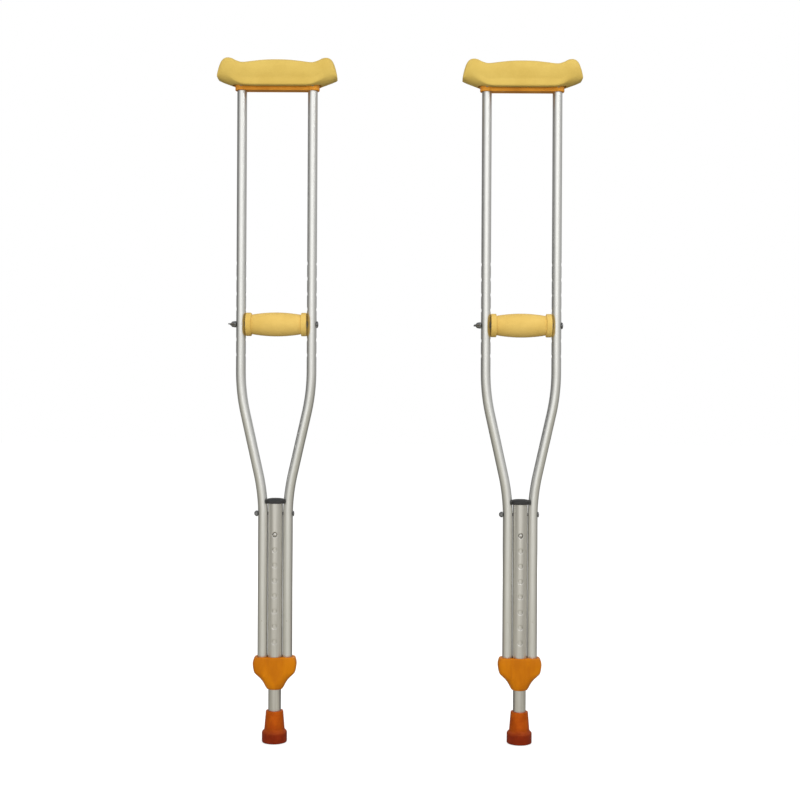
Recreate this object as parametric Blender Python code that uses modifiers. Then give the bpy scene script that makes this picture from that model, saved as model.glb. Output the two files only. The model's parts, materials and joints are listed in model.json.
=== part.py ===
"""A pair of height-adjustable aluminium underarm crutches, standing side by side.

Metres, +Z up. The origin is on the floor, midway between the two rubber tips. Each crutch has two bent
side tubes, the bows. A crossbar under the armpit pad joins them at the top, and a moulded bracket gathers
them and a fixed centre sleeve at the bottom. A leg tube slides in the sleeve and is held by two snap
buttons on a V spring. A bolt with a wing nut holds the hand grip at one of seven heights.
"""

import math

import bmesh
import bpy
from mathutils import Euler, Matrix

# The pair, and the fits that its pieces share
PAIR_SPACING = 0.4013
FIT = 0.0003
BOLT_HOLE_CLEARANCE = 0.0005
CUT_PAST = 0.002
WELD = 0.00001

# Tubes: the leg's diameter follows from the sleeve that it slides in, and one wall serves all
BOW_DIAMETER = 0.016
SLEEVE_DIAMETER = 0.0240
TUBE_WALL = 0.0012
LEG_CLEARANCE = 0.0004

# Bottom bracket
BRACKET_BOTTOM = 0.0870
BRACKET_HEIGHT = 0.0530
BRACKET_WALL = 0.0026
BRACKET_VALLEY = 0.0017
SLEEVE_SEAT_HEIGHT = 0.0100
BOW_SEAT_HEIGHT = 0.0278

# Centre sleeve and its height holes, counted up from the bracket
HEIGHT_HOLES = 8
HOLE_PITCH = 0.025
HEIGHT_HOLE_DIAMETER = 0.008
LOWEST_HOLE_ABOVE_BRACKET = 0.025
SLEEVE_ABOVE_TOP_HOLE = 0.0505

# Bows: straight at the top, bent in, then bent back to lie along the sleeve
BOW_TOP = 1.0800
BOW_SPREAD = 0.0579
UPPER_BEND_RADIUS = 0.320
LOWER_BEND_RADIUS = 0.320
BOW_LEAN = math.radians(12.6)
BOW_SIDE_CLEARANCE = 0.0004
BEND_END_BELOW_SLEEVE_TOP = 0.0209
BEND_STEPS = 4

# Leg tube above its buttons, the snap buttons, pressed in, and the V spring behind them
LEG_ABOVE_BUTTON = 0.0120
BUTTON_CLEARANCE = 0.00025
BUTTON_DOME = 0.0016
BUTTON_FLANGE_LAP = 0.0006
BUTTON_FLANGE = 0.0007
SPRING_THICKNESS = 0.0007
SPRING_WIDTH = 0.0055
SPRING_HALF_GAP = 0.0008
SPRING_LOOP_CLEARANCE = 0.0028
SPRING_LOOP_BELOW_BUTTON = 0.0380
SPRING_ABOVE_BUTTON = 0.0065

# Frame bolt and cap nut, across both bows and the sleeve
FRAME_BOLT_BELOW_SLEEVE_TOP = 0.0164
FRAME_BOLT_DIAMETER = 0.005
FRAME_HEAD_DIAMETER = 0.009
FRAME_HEAD_HEIGHT = 0.002
FRAME_NUT_FLATS = 0.008
FRAME_NUT_HEIGHT = 0.0038
FRAME_NUT_DOME = 0.0022

# Black cap on the sleeve, its sides hollowed by the bows
CAP_HEIGHT = 0.0089
CAP_SHORT_OF_BOWS = 0.0046
CAP_RIM = 0.0009
CAP_SPIGOT = 0.0070

# Rubber tip, as walls round the leg, and the washer on its floor
TIP_TOP = 0.0515
TIP_FLOOR = 0.0070
TIP_FOOT_HEIGHT = 0.0175
TIP_FOOT_WALL = 0.0101
TIP_BODY_WALL = 0.0063
TIP_MOUTH_WALL = 0.0037
TIP_EDGE = 0.0018
TREAD_DEPTH = 0.0012
TREAD_GROOVE_WIDTH = 0.0025
TREAD_GROOVE_INSETS = (0.0046, 0.0101)
WASHER_THICKNESS = 0.0015
WASHER_HOLE_DIAMETER = 0.005

# Crossbar, its flange inside the pad, and its rivets
SOCKET_DEPTH = 0.0135
SOCKET_WALL = 0.00295
CROSSBAR_HEIGHT = 0.0185
CROSSBAR_EDGE = 0.0012
WEB_STEP = 0.00225
FLANGE_OVERHANG = 0.0035
FLANGE_HEIGHT = 0.0030
RIVET_BELOW_BOW_TOP = 0.0045
RIVET_DIAMETER = 0.004
RIVET_HEAD_DIAMETER = 0.0070
RIVET_HEAD_HEIGHT = 0.0014

# Underarm pad: a saddle with raised ends, over a cavity that holds the crossbar
PAD_OVERHANG = 0.0409
PAD_HALF_DEPTH = 0.0250
PAD_HEIGHT = 0.0450
PAD_LIP_ABOVE_CROSSBAR_BOTTOM = 0.0045
PAD_CAGE_SWELL = 1.037

# Hand grip, its core and its bolt
GRIP_ABOVE_BEND = 0.0759
GRIP_COLLAR_DIAMETER = 0.0384
GRIP_COLLAR_WIDTH = 0.0088
GRIP_NECK_DIAMETER = 0.0316
GRIP_BELLY_DIAMETER = 0.0392
GRIP_EDGE = 0.0014
CORE_DIAMETER = 0.012
GRIP_BOLT_DIAMETER = 0.006
GRIP_HEAD_DIAMETER = 0.011
GRIP_HEAD_HEIGHT = 0.0027
GRIP_HOLES_BELOW = 2
GRIP_HOLES_ABOVE = 4

# Wing nut
NUT_HUB_WALL = 0.00225
NUT_HUB_TOP_WALL = 0.0013
NUT_HUB_LENGTH = 0.0070
NUT_WING_THICKNESS = 0.0023
NUT_WING_REACH = 0.0130
NUT_WING_HEIGHT = 0.0113
NUT_WING_LOBE = 0.0021
BOLT_END_PROUD = 0.0012

# Facets: nested round pieces share one count, so that their faces stay parallel
TUBE_SIDES = 16
BOW_SIDES = 12
BOLT_SIDES = 12
HOLE_SIDES = 8
RING_POINTS = 24

# Finishes: base colour, roughness, metallic
ALUMINIUM = ((0.62, 0.62, 0.60), 0.32, 1.0)
ZINC = ((0.46, 0.46, 0.47), 0.35, 1.0)
SPRING_STEEL = ((0.35, 0.36, 0.38), 0.30, 1.0)
YELLOW_FOAM = ((0.71, 0.50, 0.11), 0.62, 0.0)
ORANGE_PLASTIC = ((0.60, 0.17, 0.005), 0.42, 0.0)
AMBER_RUBBER = ((0.42, 0.075, 0.004), 0.50, 0.0)
BLACK_PLASTIC = ((0.012, 0.012, 0.013), 0.45, 0.0)
GREY_PLASTIC = ((0.30, 0.30, 0.30), 0.55, 0.0)

# Radii and fits that follow
SLEEVE_RADIUS = SLEEVE_DIAMETER / 2
SLEEVE_BORE_RADIUS = SLEEVE_RADIUS - TUBE_WALL
LEG_RADIUS = SLEEVE_BORE_RADIUS - LEG_CLEARANCE
LEG_BORE_RADIUS = LEG_RADIUS - TUBE_WALL
BUTTON_RADIUS = HEIGHT_HOLE_DIAMETER / 2 - BUTTON_CLEARANCE
BUTTON_FLANGE_RADIUS = HEIGHT_HOLE_DIAMETER / 2 + BUTTON_FLANGE_LAP
BUTTON_REACH = SLEEVE_BORE_RADIUS - FIT
BUTTON_BASE = SPRING_HALF_GAP + SPRING_THICKNESS + FIT
SOCKET_BOSS_RADIUS = BOW_DIAMETER / 2 + FIT + SOCKET_WALL
WEB_HALF_DEPTH = SOCKET_BOSS_RADIUS - WEB_STEP
FLANGE_HALF_LENGTH = BOW_SPREAD + SOCKET_BOSS_RADIUS + FLANGE_OVERHANG
FLANGE_HALF_DEPTH = SOCKET_BOSS_RADIUS + FLANGE_OVERHANG
PAD_HALF_LENGTH = BOW_SPREAD + PAD_OVERHANG
GRIP_HALF_LENGTH = BOW_SPREAD - BOW_DIAMETER / 2 - FIT
GRIP_BEARING = BOW_SPREAD + BOW_DIAMETER / 2 + FIT
CORE_BORE_RADIUS = GRIP_BOLT_DIAMETER / 2 + FIT

# Heights that follow, from the floor up
LEG_BOTTOM = TIP_FLOOR + FIT + WASHER_THICKNESS + FIT
SLEEVE_BOTTOM = BRACKET_BOTTOM + SLEEVE_SEAT_HEIGHT
BOW_BOTTOM = BRACKET_BOTTOM + BOW_SEAT_HEIGHT
BRACKET_TOP = BRACKET_BOTTOM + BRACKET_HEIGHT
TOP_HOLE_Z = BRACKET_TOP + LOWEST_HOLE_ABOVE_BRACKET + (HEIGHT_HOLES - 1) * HOLE_PITCH
SLEEVE_TOP = TOP_HOLE_Z + SLEEVE_ABOVE_TOP_HOLE
FRAME_BOLT_Z = SLEEVE_TOP - FRAME_BOLT_BELOW_SLEEVE_TOP
CROSSBAR_BOTTOM = BOW_TOP - SOCKET_DEPTH
CROSSBAR_TOP = CROSSBAR_BOTTOM + CROSSBAR_HEIGHT
RIVET_Z = BOW_TOP - RIVET_BELOW_BOW_TOP
PAD_LIP_Z = CROSSBAR_BOTTOM + PAD_LIP_ABOVE_CROSSBAR_BOTTOM

# The bows' run between their bends, and where the upper bend starts
FOOT_SPREAD = SLEEVE_RADIUS + BOW_SIDE_CLEARANCE + BOW_DIAMETER / 2
UPPER_BEND_WIDTH = UPPER_BEND_RADIUS * (1 - math.cos(BOW_LEAN))
LOWER_BEND_WIDTH = LOWER_BEND_RADIUS * (1 - math.cos(BOW_LEAN))
UPPER_BEND_HEIGHT = UPPER_BEND_RADIUS * math.sin(BOW_LEAN)
LOWER_BEND_HEIGHT = LOWER_BEND_RADIUS * math.sin(BOW_LEAN)
RUN_WIDTH = BOW_SPREAD - FOOT_SPREAD - UPPER_BEND_WIDTH - LOWER_BEND_WIDTH
RUN_HEIGHT = RUN_WIDTH / math.tan(BOW_LEAN)
BEND_END = SLEEVE_TOP - BEND_END_BELOW_SLEEVE_TOP
BEND_START = BEND_END + LOWER_BEND_HEIGHT + RUN_HEIGHT + UPPER_BEND_HEIGHT
GRIP_Z = BEND_START + GRIP_ABOVE_BEND

ALONG_X = Euler((0, math.pi / 2, 0))
ALONG_MINUS_X = Euler((0, -math.pi / 2, 0))
ALONG_Y = Euler((-math.pi / 2, 0, 0))
ALONG_MINUS_Y = Euler((math.pi / 2, 0, 0))


# Scene helpers

def clear_scene():
    for obj in list(bpy.data.objects):
        bpy.data.objects.remove(obj, do_unlink=True)


def new_collection(name):
    collection = bpy.data.collections.new(name)
    bpy.context.scene.collection.children.link(collection)
    return collection


def material(name, finish):
    """The sub-part's own material; the left and right copies share it."""
    found = bpy.data.materials.get(name)
    if found:
        return found
    colour, roughness, metallic = finish
    made = bpy.data.materials.new(name)
    made.use_nodes = True
    shader = made.node_tree.nodes["Principled BSDF"]
    shader.inputs["Base Color"].default_value = (*colour, 1)
    shader.inputs["Roughness"].default_value = roughness
    shader.inputs["Metallic"].default_value = metallic
    made.diffuse_color = (*colour, 1)
    return made


def add_empty(name, parent=None, location=(0, 0, 0)):
    empty = bpy.data.objects.new(name, None)
    empty.empty_display_size = 0.02
    empty.parent = parent
    empty.location = location
    PARTS.objects.link(empty)
    return empty


def place(obj, parent, location=(0, 0, 0), rotation=None):
    obj.parent = parent
    obj.location = location
    if rotation:
        obj.rotation_euler = rotation
    return obj


def as_part(obj, prefix, piece, finish):
    """Names a piece, gives it its material and puts it among the parts."""
    obj.name = f"{prefix}_{piece}"
    obj.data.name = obj.name
    obj.data.materials.append(material(piece, finish))
    PARTS.objects.link(obj)
    return obj


def as_cutter(obj):
    obj.hide_render = True
    obj.display_type = "WIRE"
    CUTTERS.objects.link(obj)
    return obj


def boolean(obj, other, operation="DIFFERENCE"):
    modifier = obj.modifiers.new(operation.lower(), "BOOLEAN")
    modifier.operation = operation
    modifier.object = other


def smooth_by_angle(mesh, degrees=35):
    mesh.shade_smooth()
    mesh.set_sharp_from_angle(angle=math.radians(degrees))


def mesh_object(name, bm):
    """A new object from a bmesh, its faces turned outwards."""
    bmesh.ops.recalc_face_normals(bm, faces=bm.faces)
    mesh = bpy.data.meshes.new(name)
    bm.to_mesh(mesh)
    bm.free()
    smooth_by_angle(mesh)
    return bpy.data.objects.new(name, mesh)


# Shape helpers

def turned(name, profile, sides, closed=False):
    """A profile of (radius, height) points, outer side top to bottom, turned round local Z."""
    count = len(profile)
    edges = [(i, i + 1) for i in range(count - 1)]
    if closed:
        edges.append((count - 1, 0))
    mesh = bpy.data.meshes.new(name)
    mesh.from_pydata([(radius, 0, height) for radius, height in profile], edges, [])
    obj = bpy.data.objects.new(name, mesh)
    screw = obj.modifiers.new("turn", "SCREW")
    screw.steps = sides
    screw.render_steps = sides
    screw.use_merge_vertices = True
    screw.merge_threshold = WELD
    screw.use_smooth_shade = True
    return obj


def straight_tube(name, outer_radius, inner_radius, top, bottom, sides):
    profile = [(outer_radius, top), (outer_radius, bottom), (inner_radius, bottom), (inner_radius, top)]
    return turned(name, profile, sides, closed=True)


def rod(name, radius, top, bottom, sides):
    return turned(name, [(0, top), (radius, top), (radius, bottom), (0, bottom)], sides)


def dome(radius, base, height, steps=2):
    """Profile points of a dome, from its crown on the axis to its rim."""
    angles = [math.pi / 2 * i / steps for i in range(steps + 1)]
    return [(radius * math.sin(a), base + height * math.cos(a)) for a in angles]


def mesh_from_curve(curve_object):
    """The curve as a plain mesh object, its caps welded on. The curve is removed."""
    CUTTERS.objects.link(curve_object)
    graph = bpy.context.evaluated_depsgraph_get()
    mesh = bpy.data.meshes.new_from_object(curve_object.evaluated_get(graph))
    bm = bmesh.new()
    bm.from_mesh(mesh)
    bmesh.ops.remove_doubles(bm, verts=bm.verts, dist=WELD)
    bm.to_mesh(mesh)
    bm.free()
    smooth_by_angle(mesh)
    made = bpy.data.objects.new(curve_object.name, mesh)
    made.matrix_world = curve_object.matrix_world
    curve = curve_object.data
    bpy.data.objects.remove(curve_object, do_unlink=True)
    bpy.data.curves.remove(curve)
    return made


def sweep(name, points, radius, sides, capped=True):
    """A round section carried along a line of points."""
    curve = bpy.data.curves.new(name, "CURVE")
    curve.dimensions = "3D"
    curve.bevel_depth = radius
    curve.bevel_resolution = (sides - 4) // 2
    curve.use_fill_caps = capped
    spline = curve.splines.new("POLY")
    spline.points.add(len(points) - 1)
    for spline_point, point in zip(spline.points, points):
        spline_point.co = (*point, 1)
    return mesh_from_curve(bpy.data.objects.new(name, curve))


def plate(name, outline, thickness):
    """A flat outline in XY, extruded evenly about z = 0."""
    curve = bpy.data.curves.new(name, "CURVE")
    curve.dimensions = "2D"
    curve.fill_mode = "BOTH"
    curve.extrude = thickness / 2
    spline = curve.splines.new("POLY")
    spline.points.add(len(outline) - 1)
    for spline_point, (x, y) in zip(spline.points, outline):
        spline_point.co = (x, y, 0, 1)
    spline.use_cyclic_u = True
    return mesh_from_curve(bpy.data.objects.new(name, curve))


def loft(name, rings):
    """A closed skin through rings of equally many points, capped at both ends."""
    bm = bmesh.new()
    loops = [[bm.verts.new(point) for point in ring] for ring in rings]
    for lower, upper in zip(loops, loops[1:]):
        for i in range(len(lower)):
            j = (i + 1) % len(lower)
            bm.faces.new((lower[i], lower[j], upper[j], upper[i]))
    bm.faces.new(reversed(loops[0]))
    bm.faces.new(loops[-1])
    return mesh_object(name, bm)


def rounded_ring(half_width, half_depth, power, z):
    """A superellipse in the plane z: power 2 is an ellipse, and a higher power squares its corners."""
    ring = []
    for i in range(RING_POINTS):
        angle = 2 * math.pi * i / RING_POINTS
        across = math.cos(angle)
        along = math.sin(angle)
        x = half_width * math.copysign(abs(across) ** (2 / power), across)
        y = half_depth * math.copysign(abs(along) ** (2 / power), along)
        ring.append((x, y, z))
    return ring


def arc(centre, radius, start, end, steps):
    """Points along an arc in degrees, both ends included."""
    angles = [math.radians(start + (end - start) * i / steps) for i in range(steps + 1)]
    return [(centre[0] + radius * math.cos(a), centre[1] + radius * math.sin(a)) for a in angles]


def drill(name, parent, holes):
    """One cutter for several round holes, each (diameter, length, centre, rotation).

    The flats of each hole lie on its true diameter, so that a round pin of that size clears them.
    """
    bm = bmesh.new()
    for diameter, length, centre, rotation in holes:
        corner_radius = diameter / 2 / math.cos(math.pi / HOLE_SIDES)
        bmesh.ops.create_cone(
            bm,
            cap_ends=True,
            segments=HOLE_SIDES,
            radius1=corner_radius,
            radius2=corner_radius,
            depth=length,
            matrix=Matrix.Translation(centre) @ rotation.to_matrix().to_4x4(),
        )
    return place(as_cutter(mesh_object(name, bm)), parent)


# The bows' line

def bend(start, radius, lean_from, lean_to):
    """Points (x, z) after start along a bend; the lean is measured inwards from straight down."""
    turn = 1 if lean_to > lean_from else -1
    points = []
    for i in range(1, BEND_STEPS + 1):
        lean = lean_from + (lean_to - lean_from) * i / BEND_STEPS
        x = start[0] - turn * radius * (math.cos(lean_from) - math.cos(lean))
        z = start[1] - turn * radius * (math.sin(lean) - math.sin(lean_from))
        points.append((x, z))
    return points


def bow_line():
    """Points (x, z) of the right bow's axis, from its top end to its bottom end."""
    upper = bend((BOW_SPREAD, BEND_START), UPPER_BEND_RADIUS, 0, BOW_LEAN)
    run_end = (upper[-1][0] - RUN_WIDTH, upper[-1][1] - RUN_HEIGHT)
    lower = bend(run_end, LOWER_BEND_RADIUS, BOW_LEAN, 0)
    return [(BOW_SPREAD, BOW_TOP), (BOW_SPREAD, BEND_START), *upper, run_end, *lower, (FOOT_SPREAD, BOW_BOTTOM)]


def bow_x(z):
    """Half the distance between the bows' axes at a height."""
    line = bow_line()
    for (x1, z1), (x2, z2) in zip(line, line[1:]):
        if z2 <= z <= z1:
            return x1 + (x2 - x1) * (z1 - z) / (z1 - z2)
    raise ValueError(f"the bows don't reach {z}")


def bow_space(prefix, side, parent):
    """The room that a bow needs, with its fit: it cuts the sockets, the pockets and the cap's sides."""
    line = [(side * x, 0, z) for x, z in bow_line()]
    line[0] = (line[0][0], 0, BOW_TOP + FIT)
    line[-1] = (line[-1][0], 0, BOW_BOTTOM - FIT)
    end = "head" if side > 0 else "nut"
    space = sweep(f"{prefix}_bow_space_{end}_side", line, BOW_DIAMETER / 2 + FIT, BOW_SIDES)
    return place(as_cutter(space), parent)


def grip_heights():
    return [GRIP_Z + HOLE_PITCH * step for step in range(-GRIP_HOLES_BELOW, GRIP_HOLES_ABOVE + 1)]


# Tubes

def build_bow(prefix, side, parent):
    """A bent side tube with its grip holes, its frame bolt hole and its rivet hole."""
    piece = "bow_head_side" if side > 0 else "bow_nut_side"
    line = [(side * x, 0, z) for x, z in bow_line()]
    bow = sweep(piece, line, BOW_DIAMETER / 2, BOW_SIDES, capped=False)
    wall = bow.modifiers.new("wall", "SOLIDIFY")
    wall.thickness = TUBE_WALL
    wall.offset = -1
    wall.use_even_offset = True
    through = BOW_DIAMETER + BOW_SIDE_CLEARANCE
    grip_hole = GRIP_BOLT_DIAMETER + 2 * BOLT_HOLE_CLEARANCE
    frame_hole = FRAME_BOLT_DIAMETER + 2 * BOLT_HOLE_CLEARANCE
    holes = [(grip_hole, through, (side * BOW_SPREAD, 0, z), ALONG_X) for z in grip_heights()]
    holes.append((frame_hole, through, (side * bow_x(FRAME_BOLT_Z), 0, FRAME_BOLT_Z), ALONG_X))
    holes.append((RIVET_DIAMETER + 2 * FIT, through, (side * BOW_SPREAD, 0, RIVET_Z), ALONG_Y))
    boolean(bow, drill(f"{prefix}_{piece}_holes", parent, holes))
    place(as_part(bow, prefix, piece, ALUMINIUM), parent)


def build_sleeve(prefix, parent):
    """The fixed centre tube, with its rows of height holes front and back."""
    sleeve = straight_tube("sleeve", SLEEVE_RADIUS, SLEEVE_BORE_RADIUS, SLEEVE_TOP, SLEEVE_BOTTOM, TUBE_SIDES)
    through = SLEEVE_DIAMETER + CUT_PAST
    heights = [TOP_HOLE_Z - row * HOLE_PITCH for row in range(HEIGHT_HOLES)]
    holes = [(HEIGHT_HOLE_DIAMETER, through, (0, 0, z), ALONG_Y) for z in heights]
    holes.append((FRAME_BOLT_DIAMETER + 2 * BOLT_HOLE_CLEARANCE, through, (0, 0, FRAME_BOLT_Z), ALONG_X))
    boolean(sleeve, drill(f"{prefix}_sleeve_holes", parent, holes))
    place(as_part(sleeve, prefix, "centre_sleeve", ALUMINIUM), parent)


def build_leg_tube(prefix, parent):
    """The sliding tube, drilled front and back for the snap buttons."""
    bottom = LEG_BOTTOM - TOP_HOLE_Z
    leg = straight_tube("leg", LEG_RADIUS, LEG_BORE_RADIUS, LEG_ABOVE_BUTTON, bottom, TUBE_SIDES)
    holes = [(HEIGHT_HOLE_DIAMETER, 2 * LEG_RADIUS + CUT_PAST, (0, 0, 0), ALONG_Y)]
    boolean(leg, drill(f"{prefix}_leg_holes", parent, holes))
    place(as_part(leg, prefix, "leg_tube", ALUMINIUM), parent)


# Snap buttons

def build_button(prefix, piece, parent, rotation):
    """A domed snap button. Local Z points out of the leg, and its origin is on the leg's axis."""
    shoulder = BUTTON_BASE + BUTTON_FLANGE
    profile = dome(BUTTON_RADIUS, BUTTON_REACH - BUTTON_DOME, BUTTON_DOME)
    profile += [(BUTTON_RADIUS, shoulder), (BUTTON_FLANGE_RADIUS, shoulder)]
    profile += [(BUTTON_FLANGE_RADIUS, BUTTON_BASE), (0, BUTTON_BASE)]
    button = turned(piece, profile, BOLT_SIDES)
    place(as_part(button, prefix, piece, ZINC), parent, rotation=rotation)


def build_spring(prefix, parent):
    """A strip bent into a V: a loop at the bottom, and two arms that carry the buttons."""
    arm = SPRING_HALF_GAP + SPRING_THICKNESS / 2
    knee = -BUTTON_FLANGE_RADIUS - FIT
    loop = arc((0, -SPRING_LOOP_BELOW_BUTTON), LEG_BORE_RADIUS - SPRING_LOOP_CLEARANCE, 0, -180, 6)
    line = [(arm, SPRING_ABOVE_BUTTON), (arm, knee), *loop, (-arm, knee), (-arm, SPRING_ABOVE_BUTTON)]
    bm = bmesh.new()
    near = [bm.verts.new((-SPRING_WIDTH / 2, y, z)) for y, z in line]
    far = [bm.verts.new((SPRING_WIDTH / 2, y, z)) for y, z in line]
    for i in range(len(line) - 1):
        bm.faces.new((near[i], near[i + 1], far[i + 1], far[i]))
    spring = mesh_object("spring", bm)
    strip = spring.modifiers.new("strip", "SOLIDIFY")
    strip.thickness = SPRING_THICKNESS
    strip.offset = 0
    strip.use_even_offset = True
    place(as_part(spring, prefix, "button_spring", SPRING_STEEL), parent)


# Moulded pieces

def build_sleeve_cap(prefix, parent, bow_spaces):
    """A domed plug on the sleeve, its sides hollowed to fit between the bows."""
    spigot = SLEEVE_BORE_RADIUS - FIT
    width = bow_x(SLEEVE_TOP) - CAP_SHORT_OF_BOWS
    depth = SLEEVE_RADIUS + CAP_RIM
    rings = [
        rounded_ring(spigot, spigot, 2, -CAP_SPIGOT),
        rounded_ring(spigot, spigot, 2, 0),
        rounded_ring(width, depth, 3.2, 0),
        rounded_ring(width, depth, 3.2, 0.55 * CAP_HEIGHT),
        rounded_ring(0.93 * width, 0.90 * depth, 2.8, 0.80 * CAP_HEIGHT),
        rounded_ring(0.66 * width, 0.64 * depth, 2.3, 0.95 * CAP_HEIGHT),
        rounded_ring(0.30 * width, 0.30 * depth, 2, CAP_HEIGHT),
    ]
    cap = loft("cap", rings)
    for space in bow_spaces:
        boolean(cap, space)
    place(as_part(cap, prefix, "sleeve_cap", BLACK_PLASTIC), parent, (0, 0, SLEEVE_TOP + FIT))


def lobed_ring(half_width, half_depth, power, valley, z):
    """A rounded ring drawn in by valley, front and back, between the sleeve and each bow.

    Its points are evenly spread round a circle, and gather at the corners and valleys as the power rises.
    """
    between = (SLEEVE_RADIUS + FOOT_SPREAD - BOW_DIAMETER / 2) / 2
    gathered = (1, 0.99, 0.95, 0.82, 1.52 * between / half_width, between / half_width, 0.45 * between / half_width)
    squareness = (power - 2) / 3
    quarter = []
    for i, share in enumerate(gathered):
        even = math.cos(math.pi / 2 * i / len(gathered))
        across = even + squareness * (share - even)
        depth = half_depth * (1 - across ** power) ** (1 / power)
        quarter.append((half_width * across, depth - (valley if i == 5 else 0)))
    half = [*quarter, (0, half_depth), *[(-x, y) for x, y in reversed(quarter)]]
    return [(x, y, z) for x, y in half] + [(x, -y, z) for x, y in reversed(half[1:-1])]


def bracket_rings():
    """A round collar that flares, in a concave sweep, to a wide yoke of three lobes.

    Each station is its height above the bracket's bottom, its half width, half depth, power and the share of
    the valleys' depth that it has.
    """
    bore = LEG_RADIUS + LEG_CLEARANCE
    yoke = FOOT_SPREAD + BOW_DIAMETER / 2 + FIT
    depth = SLEEVE_RADIUS + FIT + BRACKET_WALL
    stations = [
        (0.0000, bore + 0.0016, bore + 0.0013, 2.0, 0.0),
        (0.0019, bore + 0.0030, bore + 0.0025, 2.0, 0.0),
        (0.0048, bore + 0.0048, bore + 0.0036, 2.0, 0.0),
        (0.0106, bore + 0.0078, depth, 2.3, 0.1),
        (0.0170, bore + 0.0124, depth, 2.8, 0.35),
        (0.0228, yoke + 0.0003, depth, 3.5, 0.6),
        (0.0276, yoke + 0.0045, depth, 4.2, 0.8),
        (0.0329, yoke + 0.0059, depth, 4.6, 0.9),
        (0.0419, yoke + 0.0069, depth, 5.0, 1.0),
        (0.0511, yoke + 0.0049, depth - 0.0004, 5.0, 1.0),
        (BRACKET_HEIGHT, yoke + 0.0033, depth - 0.0012, 5.0, 1.0),
    ]
    return [
        lobed_ring(half_width, half_depth, power, share * BRACKET_VALLEY, BRACKET_BOTTOM + height)
        for height, half_width, half_depth, power, share in stations
    ]


def build_bracket(prefix, parent, bow_spaces):
    """The moulded bracket: pockets for the bows and the sleeve, and a bore that guides the leg."""
    bracket = loft("bracket", bracket_rings())
    above = BRACKET_TOP + CUT_PAST
    below = BRACKET_BOTTOM - CUT_PAST
    pocket = rod(f"{prefix}_sleeve_pocket", SLEEVE_RADIUS + FIT, above, SLEEVE_BOTTOM - FIT, TUBE_SIDES)
    bore = rod(f"{prefix}_leg_bore", LEG_RADIUS + LEG_CLEARANCE, above, below, TUBE_SIDES)
    for cutter in (pocket, bore):
        place(as_cutter(cutter), parent)
    for cutter in (*bow_spaces, pocket, bore):
        boolean(bracket, cutter)
    place(as_part(bracket, prefix, "bottom_bracket", ORANGE_PLASTIC), parent)


def tip_profile():
    """The ferrule's section: its bore, its tapered body, its flared foot and the tread's grooves."""
    bore = LEG_RADIUS + FIT
    mouth = LEG_RADIUS + TIP_MOUTH_WALL
    body = LEG_RADIUS + TIP_BODY_WALL
    foot = LEG_RADIUS + TIP_FOOT_WALL
    profile = [
        (0, TIP_FLOOR),
        (bore, TIP_FLOOR),
        (bore, TIP_TOP),
        (mouth - TIP_EDGE / 2, TIP_TOP),
        (mouth, TIP_TOP - TIP_EDGE / 2),
        (body, TIP_FOOT_HEIGHT + 2 * TIP_EDGE),
        (foot - TIP_EDGE / 2, TIP_FOOT_HEIGHT),
        (foot, TIP_FOOT_HEIGHT - TIP_EDGE),
        (foot, TIP_EDGE),
        (foot - TIP_EDGE, 0),
    ]
    for inset in TREAD_GROOVE_INSETS:
        outer = foot - inset
        inner = outer - TREAD_GROOVE_WIDTH
        profile += [(outer, 0), (outer, TREAD_DEPTH), (inner, TREAD_DEPTH), (inner, 0)]
    profile.append((0, 0))
    return profile


def build_tip(prefix, parent):
    """A flared rubber ferrule with a grooved tread, and the washer on its floor."""
    tip = turned("tip", [(radius, z - TOP_HOLE_Z) for radius, z in tip_profile()], TUBE_SIDES)
    place(as_part(tip, prefix, "rubber_tip", AMBER_RUBBER), parent)
    bottom = TIP_FLOOR + FIT - TOP_HOLE_Z
    top = bottom + WASHER_THICKNESS
    washer = straight_tube("washer", LEG_RADIUS, WASHER_HOLE_DIAMETER / 2, top, bottom, TUBE_SIDES)
    place(as_part(washer, prefix, "tip_washer", ZINC), parent)


# Top of the crutch

def crossbar_outline():
    """Two round socket bosses joined by a narrower web."""
    meet = math.degrees(math.asin(WEB_HALF_DEPTH / SOCKET_BOSS_RADIUS))
    right = arc((BOW_SPREAD, 0), SOCKET_BOSS_RADIUS, meet - 180, 180 - meet, 12)
    return right + [(-x, -y) for x, y in right]


def slot_outline(half_length, half_depth):
    """A straight slot with round ends."""
    right = arc((half_length - half_depth, 0), half_depth, -90, 90, 6)
    return right + [(-x, -y) for x, y in right]


def build_crossbar(prefix, parent, bow_spaces):
    """The moulded bar with a socket for each bow, and a flange on top that the pad grips."""
    bar = plate("crossbar", crossbar_outline(), CROSSBAR_HEIGHT)
    edge = bar.modifiers.new("edge", "BEVEL")
    edge.width = CROSSBAR_EDGE
    edge.segments = 1
    edge.limit_method = "ANGLE"
    edge.angle_limit = math.radians(60)
    half_height = CROSSBAR_HEIGHT / 2
    flange = plate(
        f"{prefix}_flange",
        slot_outline(FLANGE_HALF_LENGTH, FLANGE_HALF_DEPTH),
        FLANGE_HEIGHT + CUT_PAST,
    )
    middle = CROSSBAR_BOTTOM + half_height
    flange_middle = CROSSBAR_TOP + (FLANGE_HEIGHT - CUT_PAST) / 2
    boolean(bar, place(as_cutter(flange), parent, (0, 0, flange_middle)), "UNION")
    through = 2 * SOCKET_BOSS_RADIUS + CUT_PAST
    centres = [(side * BOW_SPREAD, 0, RIVET_Z) for side in (-1, 1)]
    holes = [(RIVET_DIAMETER + 2 * FIT, through, centre, ALONG_Y) for centre in centres]
    for cutter in (*bow_spaces, drill(f"{prefix}_rivet_holes", parent, holes)):
        boolean(bar, cutter)
    place(as_part(bar, prefix, "crossbar", ORANGE_PLASTIC), parent, (0, 0, middle))


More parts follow.
